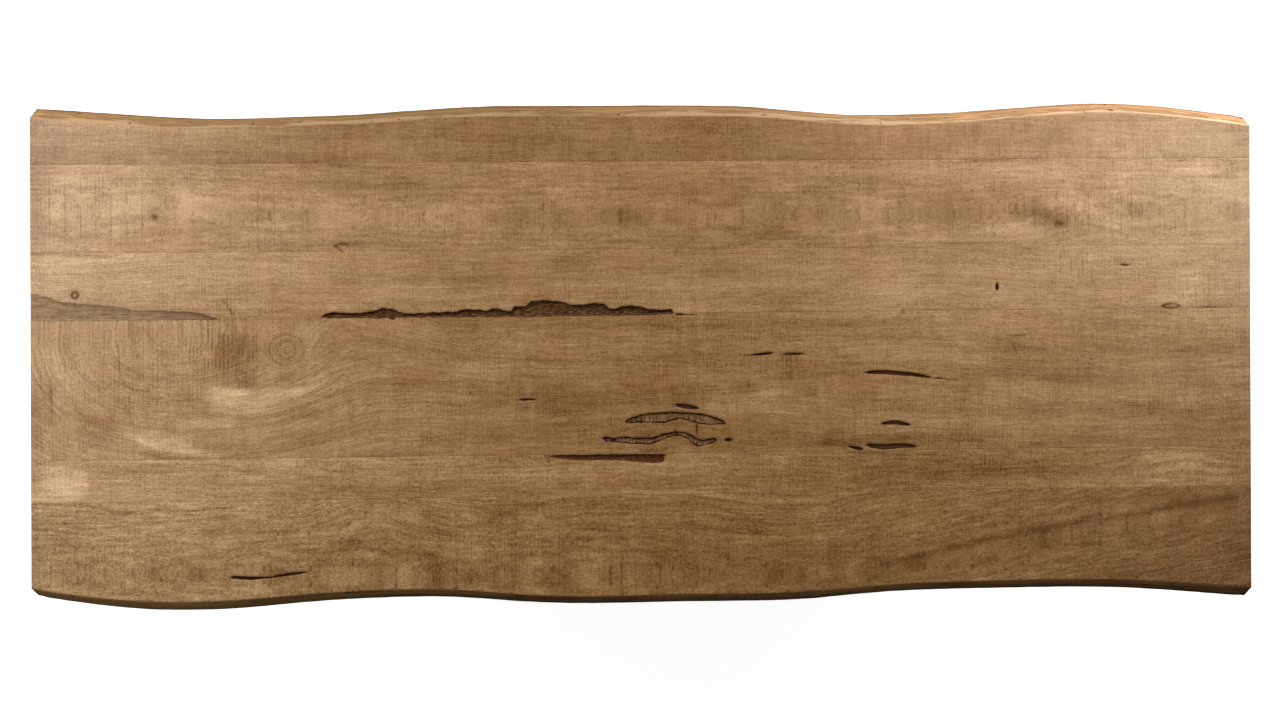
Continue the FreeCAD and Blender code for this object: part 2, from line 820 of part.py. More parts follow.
def build_glides():
    names = ("left_front", "left_back", "right_front", "right_back")
    for name, place in zip(names, glide_places()):
        export(name + "_glide_pad", [glide_pad(place)])
        export(name + "_glide_stem", [glide_stem(place)])
    export("tee_nuts", [tee_nut(p) for p in glide_places()])


def main():
    os.makedirs("parts", exist_ok=True)
    build_top()
    build_trestle("left", -1)
    build_trestle("right", 1)
    export("stretcher", [stretcher()])
    build_glides()


main()
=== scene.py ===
import math

import bmesh
import bpy
import numpy as np
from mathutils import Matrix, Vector


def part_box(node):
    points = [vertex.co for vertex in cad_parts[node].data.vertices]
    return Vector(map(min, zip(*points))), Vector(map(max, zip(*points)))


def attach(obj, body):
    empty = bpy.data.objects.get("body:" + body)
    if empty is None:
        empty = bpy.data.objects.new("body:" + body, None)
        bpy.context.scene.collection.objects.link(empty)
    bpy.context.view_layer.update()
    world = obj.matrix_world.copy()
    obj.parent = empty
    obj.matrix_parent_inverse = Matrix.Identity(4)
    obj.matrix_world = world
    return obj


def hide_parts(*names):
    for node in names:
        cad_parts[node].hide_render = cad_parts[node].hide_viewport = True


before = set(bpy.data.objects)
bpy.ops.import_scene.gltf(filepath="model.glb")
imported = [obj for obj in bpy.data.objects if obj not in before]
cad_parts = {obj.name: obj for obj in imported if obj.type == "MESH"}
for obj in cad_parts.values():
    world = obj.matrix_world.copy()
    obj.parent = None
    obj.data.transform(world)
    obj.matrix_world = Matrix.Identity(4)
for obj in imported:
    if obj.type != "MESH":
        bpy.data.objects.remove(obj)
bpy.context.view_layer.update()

# The photograph: where the table's middle lies in it, metres a pixel on the top face, and the table's lean
PHOTO_MIDDLE_PX = (640.5, 356.5)
PHOTO_CENTRE_PX = (640.0, 360.0)
PIXEL = 0.001998
PHOTO_LEAN = 0.0041
LENS_MM = 50.0
SENSOR_MM = 36.0
PHOTO_WIDTH_PX = 1280

# The top
TOP_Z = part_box("plank_4")[1].z
UNDER_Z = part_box("plank_4")[0].z
HALF_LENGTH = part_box("plank_4")[1].x
ENDS = (-HALF_LENGTH, HALF_LENGTH)
HALF_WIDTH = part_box("plank_1")[1].y
FRONT_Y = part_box("plank_6")[0].y
CELL_X = 0.003
CELL_Y = 0.0026
JOINT_EASE = 0.0007
JOINT_DROP = 0.00022
END_EASE = 0.0014
END_DROP = 0.0009
LIVE_EDGE_FROM = 0.44
LEVEL_TOLERANCE = 0.0002
UPPER_FACET_ROWS = 6
LOWER_FACET_ROWS = 12
BARK_RELIEF = 0.0007
BARK_PROUD = 0.0015
CORNER_REACH = 0.022
TOP_WAVE = 0.00022
# Live edges: which side of which plank is one, and the seed of its flakes. 1 is the back, -1 the front
LIVE_SIDES = {1: 1, 6: -1}
BARK_SEEDS = {1: 61, -1: 67}

# The timbers' eased arrises
TIMBER_EASE = 0.0018
WEDGE_EASE = 0.0009
PEG_EASE = 0.0006
WELD_WITHIN = 1e-6
FLAT_WITHIN = math.radians(0.3)
ARRIS_FROM = math.radians(25)
SHARP_FROM = math.radians(50)


def from_photo(px, py):
    """The place on the top face that a pixel of the photograph shows."""
    across = px - PHOTO_MIDDLE_PX[0]
    return across * PIXEL, (PHOTO_MIDDLE_PX[1] - PHOTO_LEAN * across - py) * PIXEL


def to_photo(x, y):
    """The pixel of the photograph that shows a place on the top face."""
    px = PHOTO_MIDDLE_PX[0] + x / PIXEL
    return px, PHOTO_MIDDLE_PX[1] - PHOTO_LEAN * (px - PHOTO_MIDDLE_PX[0]) - y / PIXEL


# Outlines of the hollows in the top, as x, y, x, y ... in pixels of the photograph
BARK_PX = [
    320, 317.9, 326, 313.5, 335.5, 312, 358, 313, 375, 310.5, 381.5, 308.3, 392, 309.2, 404.5, 313, 416.6,
    313.5, 431, 312.3, 455, 311.7, 466, 309, 480, 310, 486, 311, 492, 308.6, 498, 308.8, 507, 311, 511.4,
    310.4, 514, 306.4, 526, 306.4, 531.5, 301.3, 550, 300.4, 565, 302.4, 570, 304.4, 584, 304.4, 590, 303,
    604, 303.5, 609, 307.8, 614.6, 309, 620, 306.4, 630.6, 305.4, 640, 306.4, 648, 308.8, 659, 309.8, 671,
    308.8, 675, 314, 640, 315.3, 560, 316.2, 490, 316.9, 397, 317.8, 393, 320, 388, 318.4,
]
WANE_PX = [
    28, 293.6, 47, 297, 60, 302, 80, 304, 100, 305.4, 122, 308, 134, 311, 161, 311, 187, 312.2, 201, 314,
    217.5, 319.4, 120, 320.4, 28, 320.8,
]
GUM_PX = [
    544, 455.3, 606, 454.2, 667.2, 453.9, 663, 457, 664.4, 459.3, 662.5, 462, 655, 463, 645, 462.5, 626,
    460.6, 601, 460, 576, 460.3, 559, 458.7,
]
LENSES_PX = [
    [624.6, 420.8, 628, 418.4, 633, 416.6, 645.4, 413.6, 658, 412.4, 672, 411.8, 685, 412.4, 702, 413.6,
     713.6, 416.5, 722.5, 420.2, 728.4, 424.8, 719, 424.6, 709, 424.9, 699, 424, 691, 421.6, 685, 420.1, 679,
     418.8, 673, 420.7, 665, 423.2, 645, 422.9, 636, 422.6, 630, 423.6, 625.6, 422.8],
    [601.6, 438, 606, 436.4, 614.7, 438, 624.6, 436.4, 634.5, 437.6, 653, 437.6, 661, 434.4, 675, 431, 685,
     432.2, 692, 435.4, 697, 438.6, 702, 440, 708, 438.4, 715.5, 437.8, 716.4, 441, 710, 443.6, 703, 445.2,
     697, 446.6, 692, 443.6, 688.5, 439.6, 682, 436.2, 674, 435.8, 666, 438.4, 657, 442, 649, 444.8, 638,
     444, 629.5, 443.8, 614, 442, 605, 441.6],
    [724, 438.8, 728, 437.4, 732, 438.4, 732.4, 440.4, 728.4, 441.4, 724.4, 440.8],
]
# Checks: (greatest width, where along it that is, x, y, x, y ...)
CHECKS_PX = [
    (2.5, 0.75, 744, 355.5, 760, 354.3, 774, 352.9), (1.7, 0.6, 779.5, 354.4, 803, 353.8),
    (4, 0.4, 863.5, 372.4, 884, 372, 912, 374.4, 934.5, 377.9), (1, 0.2, 934, 377.8, 951, 379),
    (3.9, 0.5, 880, 423.8, 894, 422.2, 911, 425), (3, 0.6, 847, 446.3, 863.5, 449.4),
    (5, 0.4, 865, 445, 884, 447.1, 902.6, 445.4, 918.5, 446.6),
    (4.2, 0.5, 674.5, 404.6, 686, 406.4, 699, 408.5), (2, 0.5, 518, 399.8, 537, 399.3),
    (3, 0.35, 228, 577.2, 250, 578.4, 272, 577.4), (2.3, 0.5, 268, 577.6, 285, 574.8, 306.5, 572.2),
    (1.6, 0.5, 696.4, 423, 696.8, 435), (3, 0.75, 997.2, 279, 997.5, 290.5),
    (0.9, 0.4, 1196, 307, 1233, 306.6), (1.4, 0.2, 674, 314.2, 698, 314.4),
    (1.2, 0.4, 1120, 264.2, 1127, 265, 1131, 264.4),
]
SLIT_STEPS = 13
SLIT_LEAST_PX = 0.15
# How the top sinks in the bark pocket, the checks, the gum pocket, the wane and the lens-shaped pockets:
# (where the slope begins, where it ends, depth, unevenness), in metres
HOLLOWS_SUNK = [
    (0.0004, -0.0045, 0.006, 0.0006), (0.0006, -0.0022, 0.003, 0.0), (0.0004, -0.004, 0.0035, 0.0003),
    (0.0004, -0.006, 0.001, 0.0001), (0.0005, -0.003, 0.0032, 0.0003),
]
FAR = 0.03
# Small dark marks and knots, and painted shade along the ends of the top: (x, y, half width, half height,
# strength). All strengths are in hundredths
DARK_MARKS_PX = [
    (156, 217, 2.6, 2.4, 120), (154, 212, 6, 5, 40), (172.5, 200.6, 4, 3, 50), (352, 244, 18, 2.5, 35),
    (1061, 223, 5, 3.2, 110), (1056, 220, 20, 9, 55), (1034, 213, 24, 7, 55), (474, 268.4, 1.6, 1.6, 80),
    (509, 333.7, 2.4, 2, 80), (903, 312, 2.6, 1.8, 80), (1017, 344, 5, 4, 30), (245, 345, 20, 16, 32),
    (238, 372, 14, 14, 22), (246, 385, 14, 8, 25), (700, 125, 60, 14, 20), (775, 236, 24, 8, 22),
    (160, 470, 55, 8, 20), (1180, 161, 14, 4, 35), (300, 345, 6, 8, 15), (40, 335, 12, 20, 20),
    (34, 411, 8, 10, 25), (60, 410, 40, 14, 12), (340, 160, 60, 7, 30), (120, 218, 60, 4, 15),
    (300, 212, 60, 4, 12), (560, 265, 120, 5, 10), (1090, 470, 60, 8, 10), (330, 352, 14, 20, 16),
    (345, 543, 60, 5, 16), (980, 160, 40, 3, 30), (1000, 243, 60, 3, 25), (750, 520, 30, 8, 12),
    (940, 208, 110, 30, 16), (440, 280, 100, 20, 17), (390, 350, 60, 24, 22), (890, 473, 150, 14, 36),
    (650, 432, 90, 10, 12), (880, 440, 90, 6, 20), (787, 366, 12, 14, 25), (222, 360, 34, 24, 26),
    (486, 135, 60, 16, 18), (1040, 135, 80, 14, 8), (936, 205, 90, 26, 10), (546, 280, 90, 18, 15),
    (1106, 285, 80, 18, 12), (486, 345, 50, 22, 24), (1186, 415, 60, 20, 14), (1000, 470, 140, 16, 15),
    (766, 520, 70, 16, 16), (80, 570, 50, 18, 13), (280, 575, 50, 14, 12), (1180, 499, 74, 7, 20),
    # The marks at x 30 to 32 and at 1249 paint shade along the ends of the top
    (95, 430, 34, 12, 22), (30, 205, 22, 80, 52), (30, 390, 20, 70, 18), (31, 482, 18, 26, 45),
    (32, 545, 8, 40, 22), (1249, 482, 26, 22, 28), (1249, 545, 24, 40, 16), (980, 205, 80, 30, 10),
    (1140, 282, 80, 18, 10), (980, 473, 80, 12, 12), (760, 545, 90, 30, 8), (520, 140, 90, 16, 9),
    (955, 145, 80, 6, 24), (520, 282, 90, 18, 8),
]
LIGHT_MARKS_PX = [
    (158, 441, 26, 7, 50), (245, 395, 42, 6, 30), (220, 404, 14, 9, 42), (300, 425, 60, 7, 35),
    (62, 482, 30, 18, 25), (35, 455, 14, 6, 40), (768, 393.5, 15, 5, 95), (1006, 229, 36, 8, 75),
    (1080, 203, 16, 8, 35), (175, 247, 24, 5, 40), (1180, 458, 26, 8, 55), (1205, 172, 18, 6, 45),
    (430, 395, 60, 6, 28), (610, 405, 24, 6, 30), (438, 500, 12, 5, 45), (690, 449, 45, 4, 25),
    (205, 355, 10, 10, 35), (880, 173, 40, 6, 10), (60, 266, 36, 5, 35), (60, 197, 34, 14, 25),
    (345, 498, 20, 6, 30), (250, 212, 14, 12, 20), (1100, 130, 60, 8, 20), (665, 443, 14, 4, 35),
    (1000, 420, 60, 6, 10), (1190, 155, 40, 18, 20), (790, 138, 70, 16, 40), (510, 475, 120, 12, 35),
    (945, 350, 60, 24, 30), (1180, 290, 60, 16, 20), (186, 140, 50, 16, 20), (886, 140, 55, 16, 28),
    (1186, 130, 50, 14, 35), (430, 205, 90, 26, 12), (386, 285, 45, 16, 28), (906, 285, 90, 20, 25),
    (1036, 345, 90, 20, 20), (736, 405, 70, 16, 30), (686, 470, 60, 14, 33), (486, 470, 50, 14, 20),
    (1146, 520, 80, 20, 26), (386, 570, 45, 16, 28), (286, 520, 50, 16, 18), (215, 392, 10, 6, 35),
    (228, 398, 20, 8, 25), (160, 444, 26, 6, 25), (1180, 464, 60, 14, 28), (50, 478, 26, 14, 15),
    (1180, 545, 80, 32, 14), (980, 545, 80, 32, 11), (620, 473, 200, 12, 10),
]
# How much one unit of a mark's strength changes the shade
DARK_MARK = 0.33
LIGHT_MARK = 0.17
# Patches with a clear edge: (change of shade in hundredths, x, y, x, y ...)
PATCHES_PX = [
    (10, 208, 386, 236, 388, 262, 392, 318, 386, 280, 405, 250, 413, 232, 408, 212, 398),
    (13, 20, 466, 82, 467, 89, 478, 86, 496, 60, 506, 20, 503),
    (-4.5, 220, 334, 246, 333, 262, 352, 258, 384, 240, 389, 206, 386, 214, 360),
    (8, 138, 432, 150, 428, 186, 443, 196, 453, 160, 452, 134, 440),
]
PATCH_EDGE = (0.0035, -0.005)
# Marks in the shape of a ring: (x, y, radius, thickness, strength)
RING_MARKS_PX = [
    (75, 295.2, 3.2, 1.3, 190), (287, 350, 9, 1.6, 16), (287, 350, 17, 2.2, 6), (48, 384, 9, 2, 20),
    (172, 202, 6, 1.6, 25),
]
# Lines that the colour follows, dark ones below zero: (half width, change in hundredths, x, y, x, y ...)
SHADE_LINES_PX = [
    (3.4, -17, 882, 564, 935, 552, 992, 539, 1055, 526, 1160, 509.5, 1234, 497),
    (6, -5, 28, 166, 90, 163, 135, 160), (6, -7, 225, 166, 290, 162, 350, 168, 420, 174),
    (1.5, -20, 28, 254.4, 70, 255, 112, 256), (3, 8, 28, 259, 70, 260, 112, 262),
    (1.6, -12, 940, 243.4, 1010, 243.4, 1060, 244), (1.5, -12, 975, 161, 1040, 157.4),
    (1.6, -12, 640, 451, 670, 450.5, 698, 449),
    (1.1, -20, 118, 345, 119, 366, 120.5, 377, 125, 385, 133.5, 390, 150, 391),
    (1.6, -12, 1080, 200, 1100, 207, 1112, 208), (0.9, -22, 222, 299, 227, 305, 233.5, 315),
    (1.3, -20, 50.5, 385, 51, 398, 52.5, 412), (1.2, -20, 30, 503.8, 81, 505, 109, 510.6, 134, 512.5),
    (1.4, 12, 92, 504, 118, 507.4, 153, 509.4), (1.1, -12, 150, 509.6, 190, 511, 232, 508),
    (2.4, -10, 269, 543.7, 294.6, 551, 361, 547.4, 398, 554.8), (1.5, -14, 183, 458, 208, 459.4),
    (3.6, -8, 1025, 444, 1099, 440, 1200, 438, 1238, 428),
    (1, -62, 1163, 305.6, 1166.5, 303.9, 1172, 303.5, 1177.5, 304, 1179.4, 305.6),
    (1, -62, 1179.4, 305.6, 1176.5, 307.5, 1170, 307.9, 1165.5, 307.3, 1163, 305.6),
    (1.1, -28, 1012, 337, 1019, 335, 1026, 334.6), (1.1, -20, 1012, 343, 1016, 351),
    (0.9, -62, 335, 246, 342, 243.3, 348, 244.7), (0.9, -62, 335, 246, 342, 250.5),
    (2.4, 13, 704, 494, 738, 497, 754, 502, 810, 499.5, 868, 491), (2.2, 9, 545, 497, 640, 492, 700, 493),
    (2, 6, 740, 508, 800, 512, 850, 504, 900, 500), (4, 15, 128, 433, 150, 444, 180, 451, 215, 455),
    (2, -8, 90, 446, 130, 452, 170, 460), (3.4, 12, 208, 397, 250, 391, 300, 389),
    (4, 8, 180, 425, 230, 421, 290, 411, 340, 398), (2.2, 13, 1060, 197, 1076, 203, 1086, 214),
    (1.8, 11, 1072, 192, 1091, 202, 1098, 216), (1, -14, 1066, 199, 1081, 207, 1090, 217),
    (1, -12, 1062, 207, 1073, 212, 1078, 221), (1.6, -6, 700, 376, 780, 372, 850, 374),
    (1.2, -6, 750, 398, 800, 396, 860, 386), (1.4, 5, 800, 386, 850, 383, 930, 388),
    (1.6, -8, 340, 503, 365, 498, 395, 500, 430, 512, 452, 520),
    (1.4, 6, 345, 508, 368, 503, 392, 506, 425, 520), (2.2, -10, 820, 445, 850, 443, 870, 444),
    (1, -5, 606, 404, 640, 402, 690, 406), (0.9, -22, 782, 357, 782.4, 365),
    (0.9, -26, 786.8, 357, 786.2, 373), (0.9, -26, 790.6, 357, 790, 379), (0.9, -20, 796.4, 357, 796, 367),
    (1, -22, 748, 381, 748.6, 389), (0.7, -14, 697, 372, 698, 386), (1.2, -10, 700, 497, 740, 501, 770, 508),
    (5, -5, 560, 484, 640, 486, 740, 482), (1.6, -6, 28, 520, 100, 524, 180, 522, 260, 514),
    (1, -12, 218, 319.4, 270, 319, 320, 318.6), (0.9, -42, 744, 355.6, 752, 355, 762, 354.2),
    (0.9, -38, 797, 353.9, 805, 353.6), (0.8, -30, 932, 377.6, 944, 378.8, 958, 379.4),
    (1, -14, 818, 437, 836, 441, 850, 444), (1, -12, 822, 442, 838, 445, 848, 448),
    (1, -10, 850, 440, 878, 443, 892, 444), (2.2, 9, 206, 400, 236, 405, 268, 402, 300, 394, 330, 380),
    (2, 8, 212, 410, 246, 414, 282, 409, 318, 398), (1.6, 9, 258, 383, 290, 384, 326, 376),
    (0.9, -7, 212, 393, 248, 401, 288, 398), (1.8, 8, 225, 392, 262, 397, 300, 391, 322, 383),
    (1.6, 8, 125, 436, 160, 449, 205, 456, 250, 452), (1.6, 8, 140, 431, 170, 441, 200, 449),
    (1.6, -8, 200, 412, 245, 420, 300, 408, 345, 390), (1.6, -9, 110, 440, 150, 455, 210, 463, 260, 458),
]
# Places where the fine saw marks show more: (x, y, half width, half height, strength)
SAWN_PX = [
    (272, 215, 14, 60, 50), (420, 220, 40, 26, 80), (787, 366, 12, 18, 120), (230, 345, 60, 40, 130),
    (1150, 170, 60, 50, 60), (1085, 262, 50, 14, 120), (565, 280, 70, 22, 60), (1210, 280, 30, 26, 90),
    (110, 400, 90, 60, 100), (1000, 150, 90, 20, 70), (990, 455, 70, 40, 50), (630, 418, 45, 14, 80),
    (505, 460, 90, 30, 50), (500, 560, 90, 30, 60), (700, 372, 60, 18, 60), (1150, 380, 60, 40, 50),
    (120, 560, 60, 24, 80), (640, 540, 200, 20, 50),
]
# Groups of single saw lines: (x of the first, pitch, middle x and y, half width, half height, strength)
SAW_GROUPS_PX = [
    (50.2, 15.4, 100, 209, 66, 36, 100), (258.6, 16.3, 268, 217, 24, 36, 90),
    (308, 16.3, 318, 233, 18, 9, 60), (1024.6, 10.8, 1114, 212, 104, 24, 100),
    (782, 5.4, 790, 366, 14, 16, 110), (1196, 13.5, 1204, 288, 22, 20, 70), (936, 6, 942, 402, 10, 22, 50),
    (70, 4.9, 140, 372, 130, 60, 85), (420, 12.8, 470, 232, 60, 22, 60), (960, 9.2, 1000, 352, 60, 20, 50),
    (330, 22, 380, 560, 90, 24, 50), (206, 4.6, 228, 345, 36, 22, 90),
]
# Places with small dark pits: (x, y, half width, half height, strength)
PITTED_PX = [
    (700, 128, 70, 14, 100), (580, 126, 60, 10, 50), (560, 372, 60, 30, 25), (300, 585, 60, 8, 30),
]
# How the grain bends: (x, y, half length, half width, rise in pixels, plank)
BENDS_PX = [
    (1062, 223, 60, 24, 14, 2), (1045, 236, 50, 10, -8, 2), (168, 205, 60, 24, 12, 2),
    (382, 512, 46, 30, 15, 6), (520, 520, 70, 24, -8, 6), (640, 512, 110, 16, -6, 6),
    (790, 510, 70, 20, -9, 6), (345, 247, 60, 12, 5, 2), (670, 423, 90, 24, 9, 4), (900, 372, 90, 16, 5, 4),
    (640, 470, 120, 14, 6, 5), (640, 120, 300, 24, -6, 1), (1180, 458, 60, 12, 8, 5),
    (800, 392, 70, 14, 7, 4), (75, 296, 16, 8, 5, 3), (60, 262, 90, 16, -10, 3), (110, 480, 120, 16, 5, 5),
    (590, 290, 90, 20, 6, 3),
]
# The nested curves at the left end of plank 4: their centre, how wide they open and how far they go
BOWL_PX = (164, 343)
BOWL_OPENS = (1.45, 2.9)
BOWL_ENDS_PX = (250, 470)
STRAIGHT_FROM_PX = 48
STRAIGHT_PACE = 0.8
# Rings of the grain round a centre: (x, y, reach)
SWIRLS_PX = [(287, 350, 24), (1062, 221, 16), (75, 295.4, 8)]
# The grain of plank 6 climbs toward its right end
CLIMB_FROM_PX = 820
CLIMB_SLOPE = 0.21
CLIMB_EASE = 0.16

# The pith of the tree that each plank came from: (place across the plank as a share, depth below the top)
PITHS = {1: (1.9, 0.09), 2: (0.42, 0.12), 3: (-0.5, 0.1), 4: (0.45, 0.22), 5: (1.4, 0.12), 6: (0.3, 0.16)}
# How curly each plank's grain is, how strong its finest texture, and how strong its streaks
FIGURES = {
    1: (0.2, 0.96, 0.38), 2: (0.12, 1.15, 0.72), 3: (0.11, 1.15, 0.55),
    4: (0.16, 1.2, 0.68), 5: (0.11, 1.5, 0.65), 6: (0.12, 1.68, 0.62),
}
# How much of a plank's figure is lost from its middle to its right end
CALMER_RIGHTWARD = {6: 0.14}
# Browns by place: (place, red, green, blue). Of a live edge they go from its foot to its arris, at its left
# end and at its right, and the front edge is -1. They hold painted light and shade: darker toward the foot,
# the back edge lighter toward its right end and the front edge darker there
EDGE_BROWNS_LIT_AND_SHADED = {
    1: (
        [(0, 96, 70, 44), (0.35, 126, 96, 63), (0.6, 138, 106, 70), (0.8, 112, 84, 55), (1, 146, 118, 86)],
        [(0, 120, 84, 52), (0.35, 158, 118, 82), (0.6, 178, 138, 100), (0.8, 138, 102, 70),
         (1, 182, 152, 118)],
    ),
    -1: (
        [(0, 98, 74, 43), (0.45, 132, 102, 62), (0.8, 148, 114, 70), (1, 160, 126, 82)],
        [(0, 48, 31, 17), (0.45, 80, 55, 30), (0.8, 106, 77, 45), (1, 132, 100, 63)],
    ),
}
WANE_BROWNS = [(0.37, 84, 64, 44), (0.46, 104, 81, 56), (0.55, 122, 97, 69), (0.66, 141, 114, 85)]
BARK_BROWNS = [(0.32, 36, 22, 13), (0.46, 66, 44, 26), (0.58, 92, 64, 39), (0.74, 128, 94, 60)]
GUM_BROWNS = [(0.35, 52, 28, 17), (0.55, 80, 45, 27), (0.75, 108, 66, 40)]
LENS_BROWNS = [(0.34, 52, 35, 21), (0.5, 106, 77, 49), (0.66, 142, 108, 70)]
WANE_TIP_PX = (140, 190)
# Where each live edge's browns turn from its left end's to its right end's painted light and shade
EDGE_LIGHT_SHIFT_FROM = {1: (-0.35, 1.05), -1: (-1.2, -0.2)}
# Where the painted highlight on each live edge's arris begins; the front edge's lies past its end, so it has
# none
ARRIS_HIGHLIGHT_FROM = {1: (0.8, 1.15), -1: (8.0, 9.0)}
BASE_TONE = 0.43
STAIN_DEPTH = 0.008
# Painted sheen, as where light glances off the ends: how much colour they lose everywhere, toward the right
# end and toward the back
PAINTED_SHEEN_AT_ENDS = (0.1, -0.02, 0.05)
SAW_PITCH = 0.0074
JOINT_SHADE = 0.42
# How far the dark line at each joint is drawn in, in metres: joint 1 is between planks 1 and 2
JOINT_THINNED = {1: 0.0009, 2: 0.0001, 3: 0.0, 4: 0.0003, 5: -0.0001}
# Painted light and shade over the wood's own brightness: how bright the top is along it, lighter toward
# the ends, and how much brighter toward the back, from -1 at one end to 1 at the other: a polynomial's
# factors, the highest power first. Then what each plank adds
LIGHT_AND_TONE_ALONG = (-0.16, -0.021, 0.249, -0.018, -0.085)
LIGHT_AND_TONE_TOWARD_BACK = (0.042, 0.123, 0.018)
PLANK_TONES = {1: -0.057, 2: 0.024, 3: 0.06, 4: -0.004, 5: 0.037, 6: -0.017}
PLANK_BLUES = {1: 15, 2: 15, 3: 14, 4: 12, 5: 11, 6: 11}
# The part of a face's normal along the grain from which it counts as end grain
ON_END = (0.75, 0.9)

# The studio
FLOOR_HALF = 40.0
FLOOR_MATTE = 0.6
FLOOR_SHADOWED = 0.55
FLOOR_GLOW = 0.88
WORLD_LIGHT = 0.22
LAMPS_AIM = (0.0, 0.0, 0.76)
LAMPS = [
    # name, place, width, height, power
    ("key_left", (-2.1, 1.0, 1.9), 1.0, 1.4, 72.0),
    ("key_right", (2.1, 1.5, 1.9), 1.0, 1.4, 52.0),
    ("key_back", (1.5, 1.7, 1.8), 1.0, 1.0, 32.0),
]
CLIP_END = 60.0


def smooth(low, high, value):
    """A smooth step from 0 at low to 1 at high."""
    t = np.clip((value - low) / (high - low), 0, 1)
    return t * t * (3 - 2 * t)


def field_noise(x, y, seed):
    """Smooth noise from -1 to 1 whose cells are one unit wide."""
    table = np.random.default_rng(seed).uniform(-1, 1, (64, 64))
    left, low = np.floor(x).astype(int), np.floor(y).astype(int)
    tx, ty = smooth(0, 1, x - left), smooth(0, 1, y - low)

    def corner(i, j):
        return table[(left + i) % 64, (low + j) % 64]

    near = corner(0, 0) * (1 - tx) + corner(1, 0) * tx
    far = corner(0, 1) * (1 - tx) + corner(1, 1) * tx
    return near * (1 - ty) + far * ty


def line_distance(x, y, line):
    """Distance from an open line of points."""
    nearest = np.full(x.shape, np.inf)
    for (ax, ay), (bx, by) in zip(line, line[1:]):
        ex, ey = bx - ax, by - ay
        along = np.clip(((x - ax) * ex + (y - ay) * ey) / (ex * ex + ey * ey), 0, 1)
        nearest = np.minimum(nearest, np.hypot(x - ax - along * ex, y - ay - along * ey))
    return nearest


def signed_distance(x, y, outline):
    """Distance from a closed outline, negative inside it."""
    closed = outline + outline[:1]
    inside = np.zeros(x.shape, bool)
    for (ax, ay), (bx, by) in zip(closed, closed[1:]):
        if ay != by:
            inside ^= ((ay > y) != (by > y)) & (x < ax + (y - ay) * (bx - ax) / (by - ay))
    nearest = line_distance(x, y, closed)
    return np.where(inside, -nearest, nearest)


def placed(numbers_px):
    """Points on the top face from x, y, x, y ... in pixels of the photograph."""
    return [from_photo(px, py) for px, py in zip(numbers_px[::2], numbers_px[1::2])]


def slit_outline(line_px, width_px, peak):
    """The outline of a check that tapers to both ends."""
    line = np.array(line_px, float).reshape(-1, 2)
    lengths = np.concatenate([[0], np.cumsum(np.hypot(*np.diff(line, axis=0).T))])
    shares = np.linspace(0, 1, SLIT_STEPS)
    xs, ys = (np.interp(shares * lengths[-1], lengths, line[:, k]) for k in (0, 1))
    across = np.array([-(ys[-1] - ys[0]), xs[-1] - xs[0]]) / math.hypot(xs[-1] - xs[0], ys[-1] - ys[0])
    swell = np.sin(math.pi * shares ** (math.log(0.5) / math.log(peak)))
    half = width_px / 2 * np.sqrt(np.clip(swell, 0, 1)) + SLIT_LEAST_PX
    rims = list(zip(xs, ys, half)) + list(zip(xs, ys, -half))[::-1]
    return [from_photo(x + across[0] * h, y + across[1] * h) for x, y, h in rims]


BARK, WANE, GUM = placed(BARK_PX), placed(WANE_PX), placed(GUM_PX)
LENSES = [placed(outline) for outline in LENSES_PX]
SLITS = [slit_outline(line, width, peak) for width, peak, *line in CHECKS_PX]


def nearest_of(x, y, outlines):
    distance = np.full(x.shape, FAR)
    for outline in outlines:
        distance = np.minimum(distance, signed_distance(x, y, outline))
    return distance


def hollows(x, y):
    """Distances to the bark pocket, the checks, the gum pocket, the wane and the lens-shaped pockets."""
    coarse_cell, fine_cell = (0.009, 0.006), (0.0035, 0.003)
    found = []
    for distance, seed, amount in (
        (signed_distance(x, y, BARK), 11, 0.0018),
        (nearest_of(x, y, SLITS), 19, 0.0004),
        (signed_distance(x, y, GUM), 13, 0.001),
        (signed_distance(x, y, WANE), 15, 0.0012),
        (nearest_of(x, y, LENSES), 17, 0.0009),
    ):
        coarse = field_noise(x / coarse_cell[0], y / coarse_cell[1], seed)
        fine = field_noise(x / fine_cell[0], y / fine_cell[1], seed + 1)
        found.append(np.clip(distance + amount * (0.65 * coarse + 0.35 * fine), -FAR, FAR))
    return found


def sunk(x, y, distances):
    """How far the top face lies below its plane."""
    rough = field_noise(x / 0.007, y / 0.0045, 21) + 0.5 * field_noise(x / 0.0035, y / 0.003, 22)
    depth = np.zeros(x.shape)
    for distance, (shaded_rim, floor, deep, uneven) in zip(distances, HOLLOWS_SUNK):
        depth = np.maximum(depth, smooth(shaded_rim, floor, distance) * (deep + uneven * rough))
    return depth


def off_centre(x, y, px, py, half_width, half_height):
    """How far points lie from a place in the photograph along and across, as shares of two lengths."""
    cx, cy = from_photo(px, py)
    return (x - cx) / (half_width * PIXEL), (y - cy) / (half_height * PIXEL)


def marked(x, y, marks_px):
    """Strength of soft elliptical marks at each point."""
    total = np.zeros(x.shape)
    for *place, strength in marks_px:
        along, across = off_centre(x, y, *place)
        total += strength / 100 * np.exp(-(along ** 2 + across ** 2) * 1.2)
    return total


def ring_marks(x, y):
    total = np.zeros(x.shape)
    for px, py, radius, thickness, strength in RING_MARKS_PX:
        cx, cy = from_photo(px, py)
        off = (np.hypot(x - cx, y - cy) - radius * PIXEL) / (thickness * PIXEL)
        total += strength / 100 * np.exp(-off ** 2)
    return total


